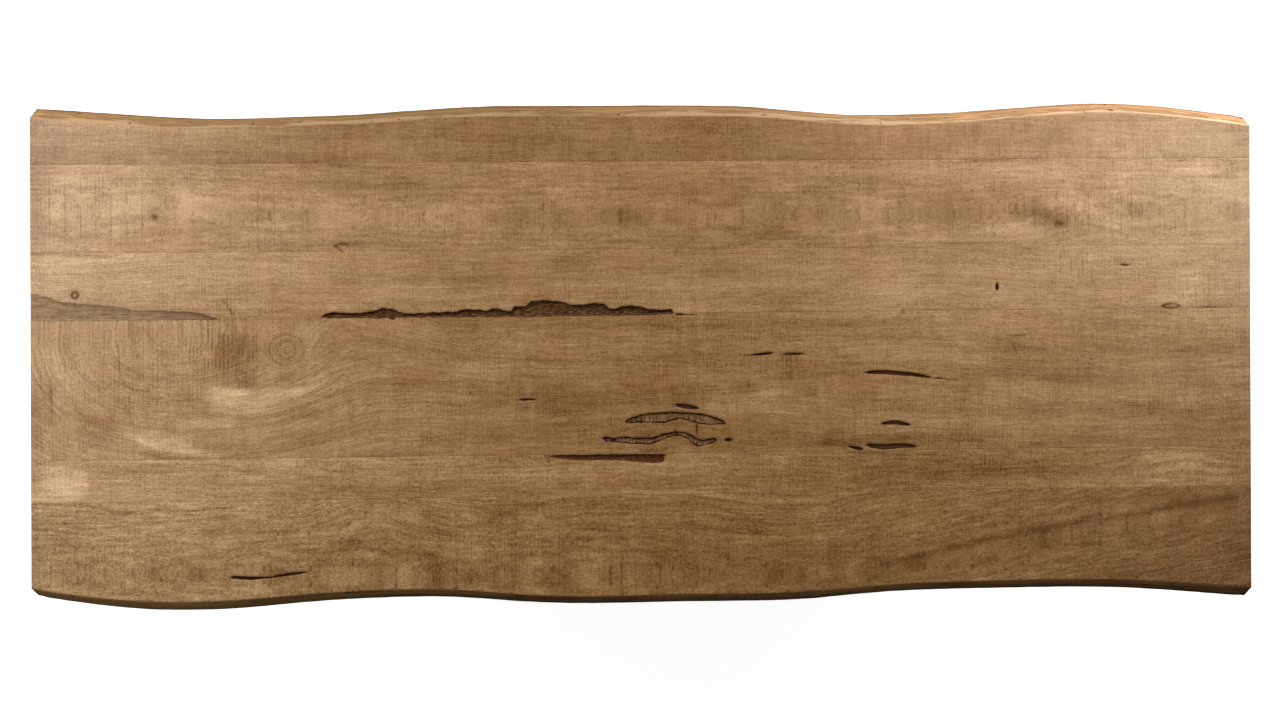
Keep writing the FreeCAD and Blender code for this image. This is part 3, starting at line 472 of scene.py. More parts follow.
def shade(x, y):
    """The change of brightness that marks, knots and lines in the wood make, with painted shade at the ends.
    """
    dark = marked(x, y, DARK_MARKS_PX) + ring_marks(x, y)
    value = LIGHT_MARK * marked(x, y, LIGHT_MARKS_PX) - DARK_MARK * dark
    for change, *outline in PATCHES_PX:
        edge = signed_distance(x, y, placed(outline)) + 0.003 * field_noise(x / 0.02, y / 0.006, 37)
        value += change / 100 * smooth(*PATCH_EDGE, edge)
    for half_width, change, *line in SHADE_LINES_PX:
        away = line_distance(x, y, placed(line)) / (half_width * PIXEL)
        value += change / 100 * np.exp(-away ** 2) * (0.8 + 0.4 * field_noise(x / 0.035, y / 0.02, 31))
    return value


def saw_phase(x, y):
    """How many pitches from the first line of a group of single saw lines, and the group's strength."""
    phase, strength = np.zeros(x.shape), np.zeros(x.shape)
    for first, pitch, *place, strong in SAW_GROUPS_PX:
        along, across = np.abs(off_centre(x, y, *place))
        inside = strong / 100 * smooth(1.0, 0.8, along) * smooth(1.1, 0.6, across)
        phase = np.where(inside > 0, (x - from_photo(first, 0)[0]) / (pitch * PIXEL) + 0.5, phase)
        strength = np.maximum(strength, inside)
    return phase, strength


def grain_rise(x, y, number):
    """How far the grain is pushed across the plank at each point."""
    seed = 40 + 7 * number
    rise = 0.01 * field_noise(x / 0.52, y / 0.16, seed) + 0.0035 * field_noise(x / 0.19, y / 0.05, seed + 1)
    rise += 0.0012 * field_noise(x / 0.07, y / 0.02, seed + 2)
    if number == 6:
        past = np.maximum(x - from_photo(CLIMB_FROM_PX, 0)[0], 0)
        rise += CLIMB_SLOPE * past ** 2 / (past + CLIMB_EASE)
    for *place, lift, plank in BENDS_PX:
        if plank == number:
            along, across = off_centre(x, y, *place)
            rise += lift * PIXEL * np.exp(-(along ** 2 + across ** 2))
    return rise


def swirl(x, y, number):
    """How much the grain follows curves round a centre, and how far out each curve lies."""
    share, radius = np.zeros(x.shape), np.zeros(x.shape)
    if number == 4:
        px, py = to_photo(x, y)
        off, down = px - BOWL_PX[0], np.maximum(py - BOWL_PX[1], 0)
        opens = np.where(off < 0, BOWL_OPENS[0], BOWL_OPENS[1])
        bowl = np.hypot(off / opens, down)
        straight = STRAIGHT_FROM_PX + STRAIGHT_PACE * (py - BOWL_PX[1] + grain_rise(x, y, number) / PIXEL)
        share = np.ones(x.shape)
        radius = (bowl + (straight - bowl) * smooth(*BOWL_ENDS_PX, px)) * PIXEL
        radius += 0.0022 * field_noise(x / 0.06, y / 0.03, 33) + 0.001 * field_noise(x / 0.02, y / 0.012, 34)
    for px, py, reach in SWIRLS_PX:
        cx, cy = from_photo(px, py)
        far = np.hypot((x - cx) * 0.9, y - cy)
        far = far + 0.001 * field_noise(x / 0.02, y / 0.02, 35)
        here = smooth(reach * PIXEL, 0.5 * reach * PIXEL, far)
        radius = radius + (far - radius) * here
        share = np.maximum(share, here)
    return share, radius


def tone_and_light(x, y, number):
    """Broad changes of the top's brightness: painted light and shade, with changes of the wood's own."""
    along, across = x / HALF_LENGTH, y / HALF_WIDTH
    value = np.polyval(LIGHT_AND_TONE_ALONG, along) + np.polyval(LIGHT_AND_TONE_TOWARD_BACK, along) * across
    return value + 0.035 * field_noise(x / 0.3, y / 0.12, 90 + number) + PLANK_TONES[number]


def node_points(node):
    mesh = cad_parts[node].data
    flat = np.empty(len(mesh.vertices) * 3, np.float32)
    mesh.vertices.foreach_get("co", flat)
    return flat.reshape(-1, 3).astype(float)


def joint_line(points, side):
    """A function giving y along the straight side of a plank, from its two end faces."""
    ys = []
    for x in ENDS:
        end = points[np.abs(points[:, 0] - x) < LEVEL_TOLERANCE, 1]
        ys.append(end.min() if side < 0 else end.max())
    return lambda x: np.interp(x, ENDS, ys)


def level_line(points, z, side):
    """A function giving y along a live edge at one level."""
    level = points[(np.abs(points[:, 2] - z) < LEVEL_TOLERANCE) & (points[:, 1] * side > LIVE_EDGE_FROM)]
    level = level[np.argsort(level[:, 0])]
    return lambda x: np.interp(x, level[:, 0], level[:, 1])


def facet_height(points, side):
    """The level at which a live edge changes its slope."""
    edge = points[points[:, 1] * side > LIVE_EDGE_FROM, 2]
    between = edge[(edge > UNDER_Z + LEVEL_TOLERANCE) & (edge < TOP_Z - LEVEL_TOLERANCE)]
    return float(np.median(between))


def stations():
    """Places along the table, with a narrow cell at each end."""
    inner = np.linspace(-HALF_LENGTH + END_EASE, HALF_LENGTH - END_EASE, round(2 * HALF_LENGTH / CELL_X))
    return np.concatenate([[-HALF_LENGTH], inner, [HALF_LENGTH]])


def shares_across(width, live):
    """Shares across the top face, with a narrow cell beside each glued joint."""
    ease = JOINT_EASE / width
    inner = np.linspace(0 if live < 0 else ease, 1 if live > 0 else 1 - ease, round(width / CELL_Y))
    return np.unique(np.concatenate([[0], inner, [1]]))


def corner_share(x):
    """From 0 along a live edge to 1 at its ends."""
    return smooth(HALF_LENGTH - CORNER_REACH, HALF_LENGTH, np.abs(x))


def bevel_rows(x, points, side):
    """Rows of a live edge from its arris down: arrays of y and z. At its ends the slope is a single one."""
    middle_z = facet_height(points, side)
    arris, middle, lowest = (level_line(points, z, side)(x) for z in (TOP_Z, middle_z, UNDER_Z))
    straight = arris + (lowest - arris) * (TOP_Z - middle_z) / (TOP_Z - UNDER_Z)
    middle = middle + (straight - middle) * corner_share(x)
    rows = []
    for low_y, low_z, high_y, high_z, count in (
        (middle, middle_z, arris, TOP_Z, UPPER_FACET_ROWS),
        (lowest, UNDER_Z, middle, middle_z, LOWER_FACET_ROWS),
    ):
        for k in range(1, count + 1):
            t = k / count
            rows.append((high_y + (low_y - high_y) * t, np.full(x.shape, high_z + (low_z - high_z) * t)))
    return rows


def bark_displaced(x, y, z, side, seed):
    """Moves the rows of a live edge in and out, as where bark has come away."""
    down = (TOP_Z - z) / (TOP_Z - UNDER_Z)
    ridges = field_noise(x / 0.16, down * 7, seed) + 0.5 * field_noise(x / 0.07, down * 12, seed + 1)
    ridges += 0.25 * field_noise(x / 0.02, down * 16, seed + 2)
    fade = smooth(0, 0.12, down) * smooth(1.0, 0.93, down) * (1 - corner_share(x))
    moved = y + side * (BARK_PROUD * down ** 0.5 - BARK_RELIEF * ridges) * fade
    return np.clip(moved, FRONT_Y, HALF_WIDTH)


def plank_sheet(points, joints, live):
    """A fine sheet from a plank's one lower edge over the top to the other: arrays of x, y and z."""
    xs = stations()
    front, back = (joints.get(side, level_line(points, TOP_Z, side))(xs) for side in (-1, 1))
    shares = shares_across(float(np.mean(back - front)), live)
    rows = [(front + (back - front) * s, np.full(xs.shape, TOP_Z)) for s in shares]
    for side in joints:
        beside = 0 if side < 0 else -1
        rows[beside] = (rows[beside][0], rows[beside][1] - JOINT_DROP)
    below, above = (
        [(edge, np.full(xs.shape, UNDER_Z))] if side in joints else bevel_rows(xs, points, side)
        for side, edge in ((-1, front), (1, back))
    )
    y, z = np.stack(below[::-1] + rows + above, axis=2)
    x = np.repeat(xs[:, None], y.shape[1], axis=1)
    if live:
        edge = slice(len(below)) if live < 0 else slice(-len(above), None)
        y[:, edge] = bark_displaced(x[:, edge], y[:, edge], z[:, edge], live, BARK_SEEDS[live])
    return x, y, z


def lowered(x, y, z, distances, number):
    """Sinks the hollows, the ends and a slight waviness into the top face."""
    low = z - sunk(x, y, distances)
    low[[0, -1]] -= END_DROP
    low -= TOP_WAVE * (1 + field_noise(x / 0.11, y / 0.045, 71 + number))
    return np.where(z > TOP_Z - JOINT_DROP * 2, low, z)


def sheet_mesh(name, x, y, z):
    """A mesh of a sheet of points, closed by a plain face below and at each end."""
    count, across = x.shape
    index = np.arange(count * across).reshape(count, across)
    quads = np.stack([index[:-1, :-1], index[1:, :-1], index[1:, 1:], index[:-1, 1:]], axis=-1)
    caps = (index[0], index[-1, ::-1], np.concatenate([index[::-1, 0], index[:, -1]]))
    mesh = bpy.data.meshes.new(name)
    vertices = np.stack([x, y, z], axis=-1).reshape(-1, 3)
    mesh.from_pydata(vertices.tolist(), [], quads.reshape(-1, 4).tolist() + [cap.tolist() for cap in caps])
    return mesh


def plank_object(number):
    """A plank, with what its material reads stored at its points."""
    node = "plank_%d" % number
    points = node_points(node)
    live = LIVE_SIDES.get(number, 0)
    joints = {side: joint_line(points, side) for side in (-1, 1) if side != live}
    x, y, z = plank_sheet(points, joints, live)
    bark, slit, gum, wane, lens = distances = hollows(x, y)
    z = lowered(x, y, z, distances, number)
    mesh = sheet_mesh(node + "_board", x, y, z)

    fade = smooth(UNDER_Z, TOP_Z, z)
    share, radius = swirl(x, y, number)
    joint = np.full(x.shape, FAR)
    for side, line in joints.items():
        joint = np.minimum(joint, side * (line(x) - y) + JOINT_THINNED[number - max(side, 0)])
    stored = {
        "grain": (grain_rise(x, y, number) * fade, share * fade, radius),
        "hollow": (bark, slit, lens),
        "stain": (gum, wane, np.clip(joint, 0, FAR)),
        "sawn": (marked(x, y, SAWN_PX), *saw_phase(x, y)),
        # First painted light and shade with the wood's broad brightness, then the marks, then the pits
        "tone_and_light": (tone_and_light(x, y, number), shade(x, y) * fade, marked(x, y, PITTED_PX)),
    }
    for name, vectors in stored.items():
        attribute = mesh.attributes.new(name, "FLOAT_VECTOR", "POINT")
        attribute.data.foreach_set("vector", np.stack(vectors, axis=-1).astype(np.float32).ravel())
    shown_piece(mesh, node, "root", plank_material(number, points, live))


def linked(data, name):
    item = bpy.data.objects.new(name, data)
    bpy.context.scene.collection.objects.link(item)
    return item


def shown_piece(mesh, node, body, material):
    """An object of a mesh that stands for a CAD node."""
    mesh.shade_smooth()
    mesh.set_sharp_from_angle(angle=SHARP_FROM)
    mesh.materials.append(material)
    piece = linked(mesh, mesh.name)
    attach(piece, body)
    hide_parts(node)
    return piece


# Materials

def srgb(red, green, blue):
    """A colour given as it shows on a screen, from 0 to 255."""
    shown = [c / 255 for c in (red, green, blue)]
    return tuple(c / 12.92 if c <= 0.04045 else ((c + 0.055) / 1.055) ** 2.4 for c in shown) + (1.0,)


class Graph:
    """The nodes of a material or world and short ways to add them. A pair is a value and its factor."""

    def __init__(self, holder):
        holder.use_nodes = True
        self.holder = holder
        self.tree = holder.node_tree
        self.tree.nodes.clear()

    def add(self, kind, inputs=(), **settings):
        node = self.tree.nodes.new("ShaderNode" + kind)
        for key, value in settings.items():
            setattr(node, key, value)
        for key, value in dict(inputs).items():
            self.put(node.inputs[key], value)
        return node

    def put(self, socket, value):
        if isinstance(value, bpy.types.NodeSocket):
            self.tree.links.new(value, socket)
        else:
            socket.default_value = value

    def math(self, operation, a, b=0.0):
        return self.add("Math", {0: a, 1: b}, operation=operation).outputs[0]

    def times(self, a, b):
        return self.math("MULTIPLY", a, b)

    def minus(self, a, b):
        return self.math("SUBTRACT", a, b)

    def scaled(self, term):
        return self.times(*term) if isinstance(term, tuple) else term

    def total(self, *terms):
        found = self.scaled(terms[0])
        for term in terms[1:]:
            found = self.math("ADD", found, self.scaled(term))
        return found

    def length(self, a, b):
        return self.math("SQRT", self.total((a, a), (b, b)))

    def least(self, *values):
        found = values[0]
        for value in values[1:]:
            found = self.math("MINIMUM", found, value)
        return found

    def centred(self, value, amount):
        return self.times(self.minus(value, 0.5), amount)

    def parts(self, vector):
        return self.add("SeparateXYZ", {0: vector}).outputs

    def place(self):
        return self.parts(self.add("TexCoord").outputs["Object"])

    def facing(self):
        return self.parts(self.add("NewGeometry").outputs["Normal"])

    def attribute(self, name):
        return self.parts(self.add("Attribute", attribute_name=name).outputs["Vector"])

    def noise(self, x, y, z, detail=2, roughness=0.5):
        place = self.add("CombineXYZ", {0: self.scaled(x), 1: self.scaled(y), 2: self.scaled(z)})
        inputs = {"Vector": place.outputs[0], "Scale": 1.0, "Detail": detail, "Roughness": roughness}
        return self.add("TexNoise", inputs).outputs[0]

    def step(self, value, low, high):
        if low > high:
            return self.minus(1.0, self.step(value, high, low))
        inputs = {"Value": value, "From Min": low, "From Max": high}
        return self.add("MapRange", inputs, interpolation_type="SMOOTHSTEP").outputs[0]

    def mix(self, share, a, b):
        """A mix of two colours, each from a socket or given as it shows on a screen."""
        node = self.add("Mix", data_type="RGBA")
        for socket, value in ((0, share), (6, a), (7, b)):
            self.put(node.inputs[socket], srgb(*value) if isinstance(value, tuple) else value)
        return node.outputs[2]

    def blend(self, share, a, b):
        return self.add("Mix", {0: share, 2: a, 3: b}, data_type="FLOAT").outputs[0]

    def ramp(self, value, stops):
        """Colours by value: each stop is a place and its red, green and blue as they show on a screen."""
        node = self.add("ValToRGB", {0: value})
        elements = node.color_ramp.elements
        while len(elements) < len(stops):
            elements.new(0.5)
        for element, (place, *colour) in zip(elements, stops):
            element.position = place
            element.color = srgb(*colour)
        return node.outputs[0]

    def bump(self, height, distance, strength):
        inputs = {"Height": height, "Distance": distance, "Strength": strength}
        return self.add("Bump", inputs).outputs[0]

    def seen(self):
        """1 for rays from the camera, also by reflection or through glass, and otherwise 0."""
        rays = self.add("LightPath").outputs
        bent = self.math("MAXIMUM", rays["Is Glossy Ray"], rays["Is Transmission Ray"])
        return self.math("MAXIMUM", rays["Is Camera Ray"], bent)

    def finish(self, inputs):
        shader = self.add("BsdfPrincipled", inputs)
        self.add("OutputMaterial", {"Surface": shader.outputs[0]}, is_active_output=True)
        return self.holder


def wood_stops(blue=12):
    """Browns of the stained wood, from its darkest to its palest."""
    return [
        (place, 79 + 140 * place, 46 + 138 * place, blue - 1 + 130 * place)
        for place in (0.0, 0.2, 0.4, 0.6, 0.8, 1.0)
    ]


def wood_figure(g, along, ring, across, seed, curly=0.2, fine=1.0, streaky=1.0):
    """Streaks, bands, pores and mottling of sawn wood, as a number about zero; the fibres and the pores."""
    fibre = g.noise((along, 16), (ring, 330), seed, 3, 0.65)
    streak = g.noise((along, 3.6), (ring, 105), seed + 3.1, 3, 0.6)
    band = g.noise((along, 1.3), (ring, 34), seed + 7.7)
    mottle = g.noise((along, 9), (across, 16), seed + 1.3, 3, 0.55)
    curl = g.noise((along, 62), (ring, 14), seed + 5.9)
    fleck = g.noise((along, 190), (across, 360), seed + 4.6, 2, 0.7)
    pores = g.step(g.noise((along, 90), (ring, 420), seed + 9.2, 1), 0.62, 0.72)
    figure = g.total(
        g.centred(fibre, 0.42 * fine), g.centred(streak, 0.38 * streaky), g.centred(band, 0.28),
        g.centred(mottle, 0.26), g.centred(curl, curly), g.centred(fleck, 0.46 * fine), (pores, -0.09 * fine),
    )
    return figure, fibre, pores


def end_figure(g, ring, y, z, seed):
    """Growth rings and pores of end grain, as a number about zero."""
    rings = g.noise((ring, 330), seed, 0.0, 2, 0.6)
    broad = g.noise((ring, 60), seed + 2.0, 0.0, 1)
    specks = g.noise((y, 700), (z, 700), seed, 2, 0.6)
    return g.total(g.centred(rings, 0.7), g.centred(broad, 0.35), g.centred(specks, 0.3), -0.08)


def saw_figure(g, x, y, fine, phase, lined, seed):
    """The marks of the saw across the boards, as a number that is below zero in a mark."""
    wander = g.noise((x, 14), (y, 3), seed + 2.4, 1)
    steps = g.total((x, 1 / SAW_PITCH), (wander, 3.0))
    near, near_single = (
        g.math("ABSOLUTE", g.minus(g.math("FRACT", count), 0.5)) for count in (steps, phase)
    )
    broken = g.noise((g.math("FLOOR", steps), 0.37), (y, 34), seed + 6.1, 2, 0.6)
    fine_line = g.times(g.step(near, 0.34, 0.1), g.step(broken, 0.4, 0.62))
    patchy = g.noise((g.math("FLOOR", phase), 0.61), (y, 26), seed + 1.7, 1)
    single = g.times(g.step(near_single, 0.07, 0.02), g.step(patchy, 0.36, 0.58))
    area = g.step(g.noise((x, 4), (y, 7), seed + 6.1, 1), 0.4, 0.66)
    amount = g.total(0.03, (area, 0.045), (fine, 0.075))
    return g.total(g.times(g.minus(0.22, fine_line), amount), (g.times(single, lined), -0.14))


def tinted(g, colour, x, y, seed):
    """The wood's colour, warmer in places, with a painted sheen that takes colour out toward the ends."""
    hue = g.noise((x, 5), (y, 11), seed + 12.1)
    colour = g.mix(g.times(g.step(hue, 0.5, 0.75), 0.24), colour, g.mix(0.5, colour, (150, 92, 44)))
    # Painted sheen: colour is taken out toward the ends
    outward = g.math("POWER", g.math("ABSOLUTE", g.times(x, 1 / HALF_LENGTH)), 2.0)
    lost = g.total(PAINTED_SHEEN_AT_ENDS[0], (x, PAINTED_SHEEN_AT_ENDS[1] / HALF_LENGTH), (y, PAINTED_SHEEN_AT_ENDS[2] / HALF_WIDTH))
    sheen_saturation = g.minus(1.0, g.times(outward, lost))
    return g.add("HueSaturation", {"Saturation": sheen_saturation, "Color": colour}).outputs[0]


def wane_over(g, colour, x, y, wane, seed):
    """The weathered wane over the wood's colour, with a painted shade line along its edge."""
    stripes = g.noise((x, 26), (y, 330), seed + 5.5, 4, 0.7)
    blotches = g.noise((x, 70), (y, 110), seed + 2.5, 3, 0.6)
    weathered = g.ramp(g.total((stripes, 0.6), (blotches, 0.4)), WANE_BROWNS)
    tip = g.step(x, *(from_photo(px, 0)[0] for px in WANE_TIP_PX))
    weathered = g.mix(g.times(tip, 0.4), weathered, (96, 60, 36))
    # Painted shade: a dark line along the wane's edge, darker toward its tip
    shaded_rim = g.times(g.step(g.math("ABSOLUTE", wane), 0.0024, 0.0002), g.total(0.42, (tip, 0.35)))
    return g.mix(shaded_rim, g.mix(g.step(wane, 0.0006, -0.001), colour, weathered), (52, 33, 20))


def live_edge_colour(g, x, z, side, seed):
    """Browns of a live edge, streaked along it, with dark dashes, painted light and shade and a painted
    highlight on the arris.
    """
    strands = g.noise((x, 6), (z, 100), seed + 8.8, 4, 0.7)
    height = g.math("DIVIDE", g.minus(z, UNDER_Z), TOP_Z - UNDER_Z)
    patches = g.noise((x, 11), (z, 40), seed + 6.2, 2, 0.6)
    streaks = g.total(g.centred(g.step(strands, 0.3, 0.7), 0.5), g.centred(patches, 0.45))
    # Painted shade: the browns darken down the edge toward its foot
    spread = g.total(height, streaks)
    at_left, at_right = EDGE_BROWNS_LIT_AND_SHADED[side]
    # Painted light and shade: the back edge lightens toward its right end and the front edge darkens there
    rightward_light_shift = g.step(x, *EDGE_LIGHT_SHIFT_FROM[side])
    colour = g.mix(rightward_light_shift, g.ramp(spread, at_left), g.ramp(spread, at_right))
    # A painted highlight on the arris, along the back edge's right end
    arris_highlight = g.times(g.step(height, 0.93, 0.98), g.step(x, *ARRIS_HIGHLIGHT_FROM[side]))
    colour = g.mix(g.times(arris_highlight, 0.65), colour, (226, 202, 168))
    dashes = g.noise((x, 42), (z, 110), seed + 1.1)
    return g.mix(g.times(g.step(dashes, 0.66, 0.72), 0.7), colour, (66, 38, 20))


def pockets_over(g, colour, crust, x, y, bark, slit, lens, gum, seed):
    """The pockets and checks over the wood's colour, with painted shade just inside the pockets' edges."""
    # Painted shade: the bark and gum pockets darken just inside their edges, below their walls
    bark_colour, gum_colour = (
        g.mix(g.times(g.step(distance, *shaded_rim), 0.6), g.ramp(crust, browns), darkest)
        for distance, shaded_rim, browns, darkest in (
            (bark, (-0.0034, -0.0008), BARK_BROWNS, (40, 25, 15)),
            (gum, (-0.0026, -0.0004), GUM_BROWNS, (44, 20, 13)),
        )
    )
    rays = g.noise((x, 340), (y, 60), seed + 1.9, 3, 0.7)
    # Painted shade: the lens-shaped pockets are near black just inside their edges
    shaded_rim = g.total(lens, g.centred(g.noise((x, 75), (y, 90), seed + 7.4, 2, 0.6), 0.0075))
    lens_colour = g.mix(g.step(shaded_rim, -0.0016, -0.0044), (36, 22, 13), g.ramp(rays, LENS_BROWNS))
    slit_colour = g.mix(g.step(slit, -0.0022, -0.0036), (46, 28, 16), (72, 45, 28))
    stained = g.step(g.least(bark, lens, gum, slit), 0.004, 0.0)
    colour = g.mix(g.times(stained, 0.3), colour, (88, 56, 32))
    for distance, inside in ((gum, gum_colour), (lens, lens_colour), (bark, bark_colour)):
        colour = g.mix(g.step(distance, 0.0004, -0.0006), colour, inside)
    return g.mix(g.step(slit, 0.0006, -0.0006), colour, slit_colour)


def plank_material(number, points, live):
    """Stained hardwood of one plank, with its hollows, marks and saw lines."""
    g = Graph(bpy.data.materials.new("plank_%d_wood" % number))
    seed = 10.0 * number
    x, y, z = g.place()
    rise, round_share, radius = g.attribute("grain")
    bark, slit, lens = g.attribute("hollow")
    gum, wane, joint = g.attribute("stain")
    fine, phase, lined = g.attribute("sawn")
    # Its first part is painted light and shade with the wood's broad brightness
    broad, shading, pitted = g.attribute("tone_and_light")
    below = g.times(g.math("MAXIMUM", g.minus(TOP_Z - STAIN_DEPTH, z), 0.0), 4.0)
    bark, slit, lens, gum, wane = [g.total(reach, below) for reach in (bark, slit, lens, gum, wane)]
    low, high = points[:, 1].min(), points[:, 1].max()
    pith_share, pith_depth = PITHS[number]
    off_y = g.minus(g.minus(y, rise), low + (high - low) * pith_share)
    off_z = g.minus(z, TOP_Z - pith_depth)
    ring = g.blend(round_share, g.length(off_y, off_z), g.total(radius, (off_z, 0.3)))

    figure, fibre, pores = wood_figure(g, x, ring, y, seed, *FIGURES[number])
    calmer = CALMER_RIGHTWARD.get(number, 0.0) / HALF_LENGTH
    figure = g.times(figure, g.total(1.0, (x, -calmer)))
    saw = saw_figure(g, x, y, fine, phase, lined, seed)
    pits = g.times(g.step(g.noise((x, 260), (y, 260), seed + 3.3, 1), 0.6, 0.68), pitted)
    value = g.total(BASE_TONE, broad, figure, saw, shading, (pits, -0.22))
    normal = g.facing()
    on_end = g.step(g.math("ABSOLUTE", normal[0]), *ON_END)
    value = g.blend(on_end, value, g.total(0.36, end_figure(g, ring, y, z, seed)))
    colour = tinted(g, g.ramp(value, wood_stops(PLANK_BLUES[number])), x, y, seed)

    sloped = 0.0
    if live:
        sloped = g.step(g.times(normal[1], live), 0.3, 0.55)
        colour = g.mix(sloped, colour, live_edge_colour(g, x, z, live, seed))
    patchy = g.noise((x, 40), seed, 0.0)
    joint_line = g.times(g.step(joint, 0.001, 0.0001), g.times(g.step(patchy, 0.3, 0.7), JOINT_SHADE))
    colour = g.mix(joint_line, colour, (62, 42, 26))
    colour = wane_over(g, colour, x, y, wane, seed)
    crust = g.noise((x, 110), (y, 300), seed + 3.7, 4, 0.7)
    colour = pockets_over(g, colour, crust, x, y, bark, slit, lens, gum, seed)

    hollow = g.step(g.least(bark, lens, gum, slit), 0.001, -0.001)
    height = g.total((fibre, 0.5), (pores, -0.5), (saw, 3.0), (g.times(crust, hollow), 5.0), (pits, -1.0))
    return g.finish({
        "Base Color": colour,
        "Roughness": g.total(0.55, g.centred(fibre, 0.16), (hollow, 0.34), (on_end, 0.12), (sloped, 0.3)),
        "Normal": g.bump(height, 0.0004, 0.6),
        "Specular IOR Level": g.total(0.14, (hollow, -0.14), (sloped, -0.13)),
    })


def timber_material(name, axis, centre, pith, darker):
    """Stained timber whose grain runs along one axis: 0, 1 or 2."""
    g = Graph(bpy.data.materials.new(name))
    seed = float(sum(map(ord, name)) % 97)
    place = g.place()
    along = place[axis]
    a, b = [place[k] for k in range(3) if k != axis]
    centre_a, centre_b = [centre[k] for k in range(3) if k != axis]
    sway = g.noise((along, 2.2), seed, 0.5)
    sway_b = g.noise((along, 1.7), seed + 4.0, 2.5)
    off_a = g.total(a, -centre_a - pith[0], g.centred(sway, 0.05))
    off_b = g.total(b, -centre_b - pith[1], g.centred(sway_b, 0.05))
    ring = g.length(off_a, off_b)
    figure, fibre, pores = wood_figure(g, along, ring, g.total(a, b), seed)
    on_end = g.step(g.math("ABSOLUTE", g.facing()[axis]), *ON_END)
    worn = g.add("Attribute", attribute_name="worn").outputs["Fac"]
    value = g.total(0.43 - darker, (figure, 1.15), (worn, 0.1))
    end_value = g.total(0.3 - darker, end_figure(g, ring, a, b, seed))
    hewn = g.noise((along, 7), (a, 22), (b, 22), 1)
    height = g.total((fibre, 0.5), (pores, -0.6), (hewn, 3.0))
    return g.finish({
        "Base Color": g.ramp(g.blend(on_end, value, end_value), wood_stops()),
        "Roughness": g.total(0.52, g.centred(fibre, 0.2), (on_end, 0.15)),
        "Normal": g.bump(height, 0.0005, 0.6),
        "Specular IOR Level": 0.22,
    })


def metal_material(name, colour, rough, metallic):
    g = Graph(bpy.data.materials.new(name))
    x, y, z = g.place()
    wear = g.noise((x, 320), (y, 320), (z, 320), 3, 0.6)
    fine = g.noise((x, 1900), (y, 1900), (z, 400), 2, 0.6)
    bright = srgb(*colour)
    dull = [c * 0.75 for c in bright[:3]] + [1.0]
    return g.finish({
        "Base Color": g.mix(g.step(wear, 0.35, 0.7), dull, list(bright)),
        "Metallic": metallic,
        "Roughness": g.total(rough, g.centred(wear, 0.25)),
        "Normal": g.bump(fine, 0.00008, 0.5),
    })


# Timbers of the base

def eased_copy(node, body, ease, material):
    """A copy of a CAD piece with its arrises eased, shown in its place."""
    shape = bmesh.new()
    shape.from_mesh(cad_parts[node].data)
    worn = shape.faces.layers.float.new("worn")
    bmesh.ops.remove_doubles(shape, verts=shape.verts, dist=WELD_WITHIN)
    bmesh.ops.dissolve_limit(shape, angle_limit=FLAT_WITHIN, verts=shape.verts, edges=shape.edges)
    arrises = [e for e in shape.edges if len(e.link_faces) == 2 and e.calc_face_angle_signed() > ARRIS_FROM]
    eased = bmesh.ops.bevel(
        shape, geom=arrises, offset=ease, offset_type="OFFSET", segments=2, profile=0.5, affect="EDGES",
        clamp_overlap=True,
    )
    for face in eased["faces"]:
        face[worn] = 1.0
    mesh = bpy.data.meshes.new(node + "_wood")
    shape.to_mesh(mesh)
    shape.free()
    piece = shown_piece(mesh, node, body, material)
    piece.modifiers.new("even", "WEIGHTED_NORMAL").keep_sharp = True


def timber(node, axis, pith, body="root", ease=TIMBER_EASE, darker=0.0):
    """Shows a CAD piece as timber. Its grain runs along one axis and its pith lies off its middle."""
    low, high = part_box(node)
    material = timber_material(node + "_timber", axis, (low + high) / 2, pith, darker)
    eased_copy(node, body, ease, material)


def build_base():
    timber("stretcher", 0, (0.03, -0.16))
    timber("centre_cleat", 1, (0.02, -0.07))
    for side in ("left", "right"):
        for kind, axis, pith in (
            ("bearer", 1, (-0.05, -0.09)), ("foot", 1, (0.04, -0.12)), ("rail", 1, (0.06, -0.05)),
            ("front_post", 2, (0.05, 0.09)), ("back_post", 2, (-0.06, 0.08)),
        ):
            timber("%s_%s" % (side, kind), axis, pith)
    for side in ("left", "right"):
        wedge = side + "_wedge"
        timber(wedge, 2, (0.02, 0.05), wedge, WEDGE_EASE, 0.1)
        for kind in ("foot", "bearer", "rail"):
            timber("%s_%s_pegs" % (side, kind), 0, (0.3, 0.2), "root", PEG_EASE, 0.12)


def dress_metal():
    """Screws, washers, glides and the dowels inside the top, which keep their CAD shapes."""
    black = metal_material("black_oxide", (44, 43, 44), 0.48, 0.9)
    zinc = metal_material("zinc_plate", (178, 180, 182), 0.34, 1.0)
    nylon = metal_material("black_nylon", (30, 30, 31), 0.62, 0.0)
    beech = timber_material("dowel_beech", 1, Vector((0, 0, 0)), (0.3, 0.2), -0.3)
    dressed = {
        "lag_screws": black, "lag_washers": black, "glide_stem": zinc, "tee_nuts": zinc,
        "glide_pad": nylon, "edge_dowels": beech,
    }
    for name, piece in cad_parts.items():
        for ending, material in dressed.items():
            if name.endswith(ending):
                for slot in piece.material_slots:
                    slot.material = material


# The studio

def grey(level):
    return (level, level, level, 1.0)


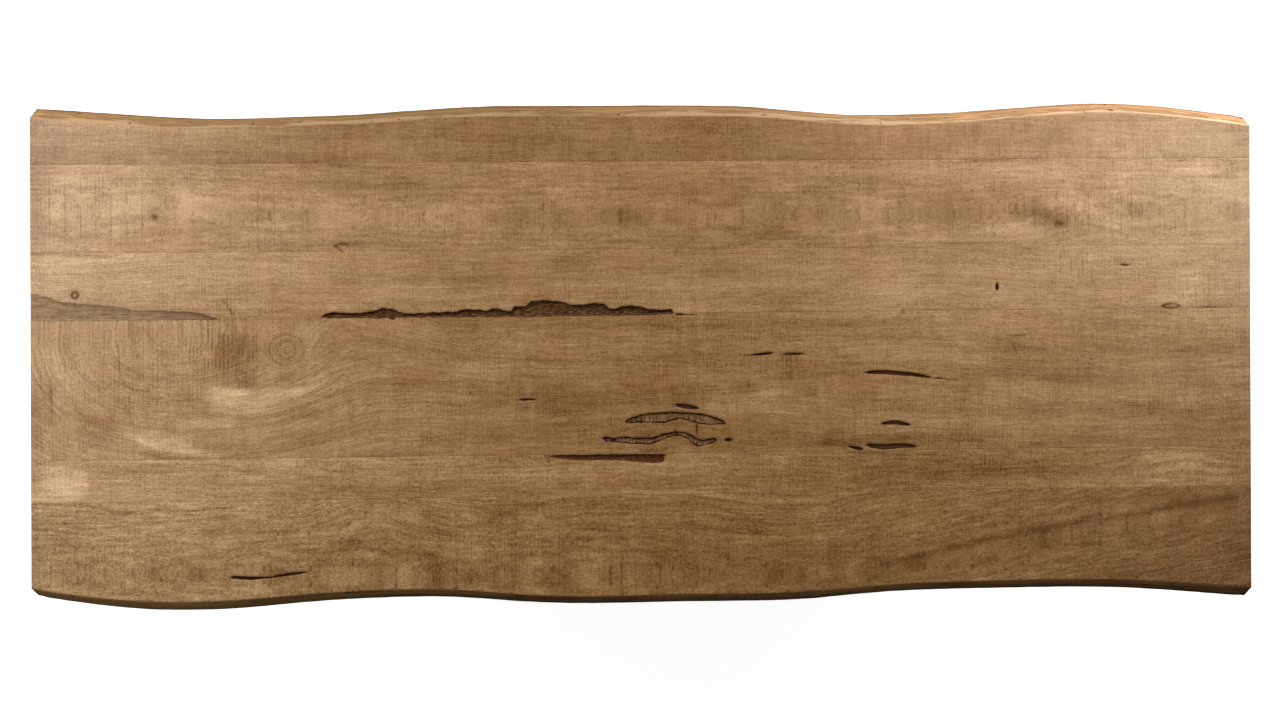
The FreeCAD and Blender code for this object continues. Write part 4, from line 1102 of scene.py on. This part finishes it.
def build_studio():
    """A white floor that keeps the table's shadow, a white world and soft lamps."""
    mesh = bpy.data.meshes.new("floor")
    h = FLOOR_HALF
    mesh.from_pydata([(-h, -h, 0), (h, -h, 0), (h, h, 0), (-h, h, 0)], [], [(0, 1, 2, 3)])
    floor = linked(mesh, "floor")
    g = Graph(bpy.data.materials.new("floor_white"))
    matte = g.add("BsdfDiffuse", {"Color": grey(FLOOR_MATTE)})
    shadowed = g.add("BsdfDiffuse", {"Color": grey(FLOOR_SHADOWED)})
    glow = g.add("Emission", {"Color": grey(1.0), "Strength": FLOOR_GLOW})
    white = g.add("AddShader", {0: shadowed.outputs[0], 1: glow.outputs[0]})
    either = g.add("MixShader", {0: g.seen(), 1: matte.outputs[0], 2: white.outputs[0]})
    g.add("OutputMaterial", {"Surface": either.outputs[0]})
    mesh.materials.append(g.holder)

    world = bpy.data.worlds.new("studio")
    bpy.context.scene.world = world
    g = Graph(world)
    soft = g.add("Background", {"Color": grey(1.0), "Strength": WORLD_LIGHT})
    bright = g.add("Background", {"Color": grey(1.0)})
    either = g.add("MixShader", {0: g.seen(), 1: soft.outputs[0], 2: bright.outputs[0]})
    g.add("OutputWorld", {"Surface": either.outputs[0]})

    for name, place, width, height, power in LAMPS:
        data = bpy.data.lights.new(name, "AREA")
        data.shape = "RECTANGLE"
        data.size, data.size_y, data.energy = width, height, power
        lamp = linked(data, name)
        lamp.location = place
        lamp.rotation_euler = (Vector(LAMPS_AIM) - Vector(place)).to_track_quat("-Z", "Y").to_euler()
        lamp.visible_camera = False


def build_camera():
    """Looks straight down, as in the photograph, and turned a little against the table."""
    data = bpy.data.cameras.new("camera")
    data.lens, data.sensor_width, data.clip_end = LENS_MM, SENSOR_MM, CLIP_END
    camera = linked(data, "camera")
    distance = PIXEL * PHOTO_WIDTH_PX * LENS_MM / SENSOR_MM
    camera.location = (
        (PHOTO_CENTRE_PX[0] - PHOTO_MIDDLE_PX[0]) * PIXEL,
        (PHOTO_MIDDLE_PX[1] - PHOTO_CENTRE_PX[1]) * PIXEL,
        TOP_Z + distance,
    )
    camera.rotation_euler = (0.0, 0.0, -math.atan(PHOTO_LEAN))
    bpy.context.scene.camera = camera


def main():
    for number in range(1, 7):
        plank_object(number)
    build_base()
    dress_metal()
    build_studio()
    build_camera()
    bpy.context.scene.view_settings.view_transform = "Standard"


main()
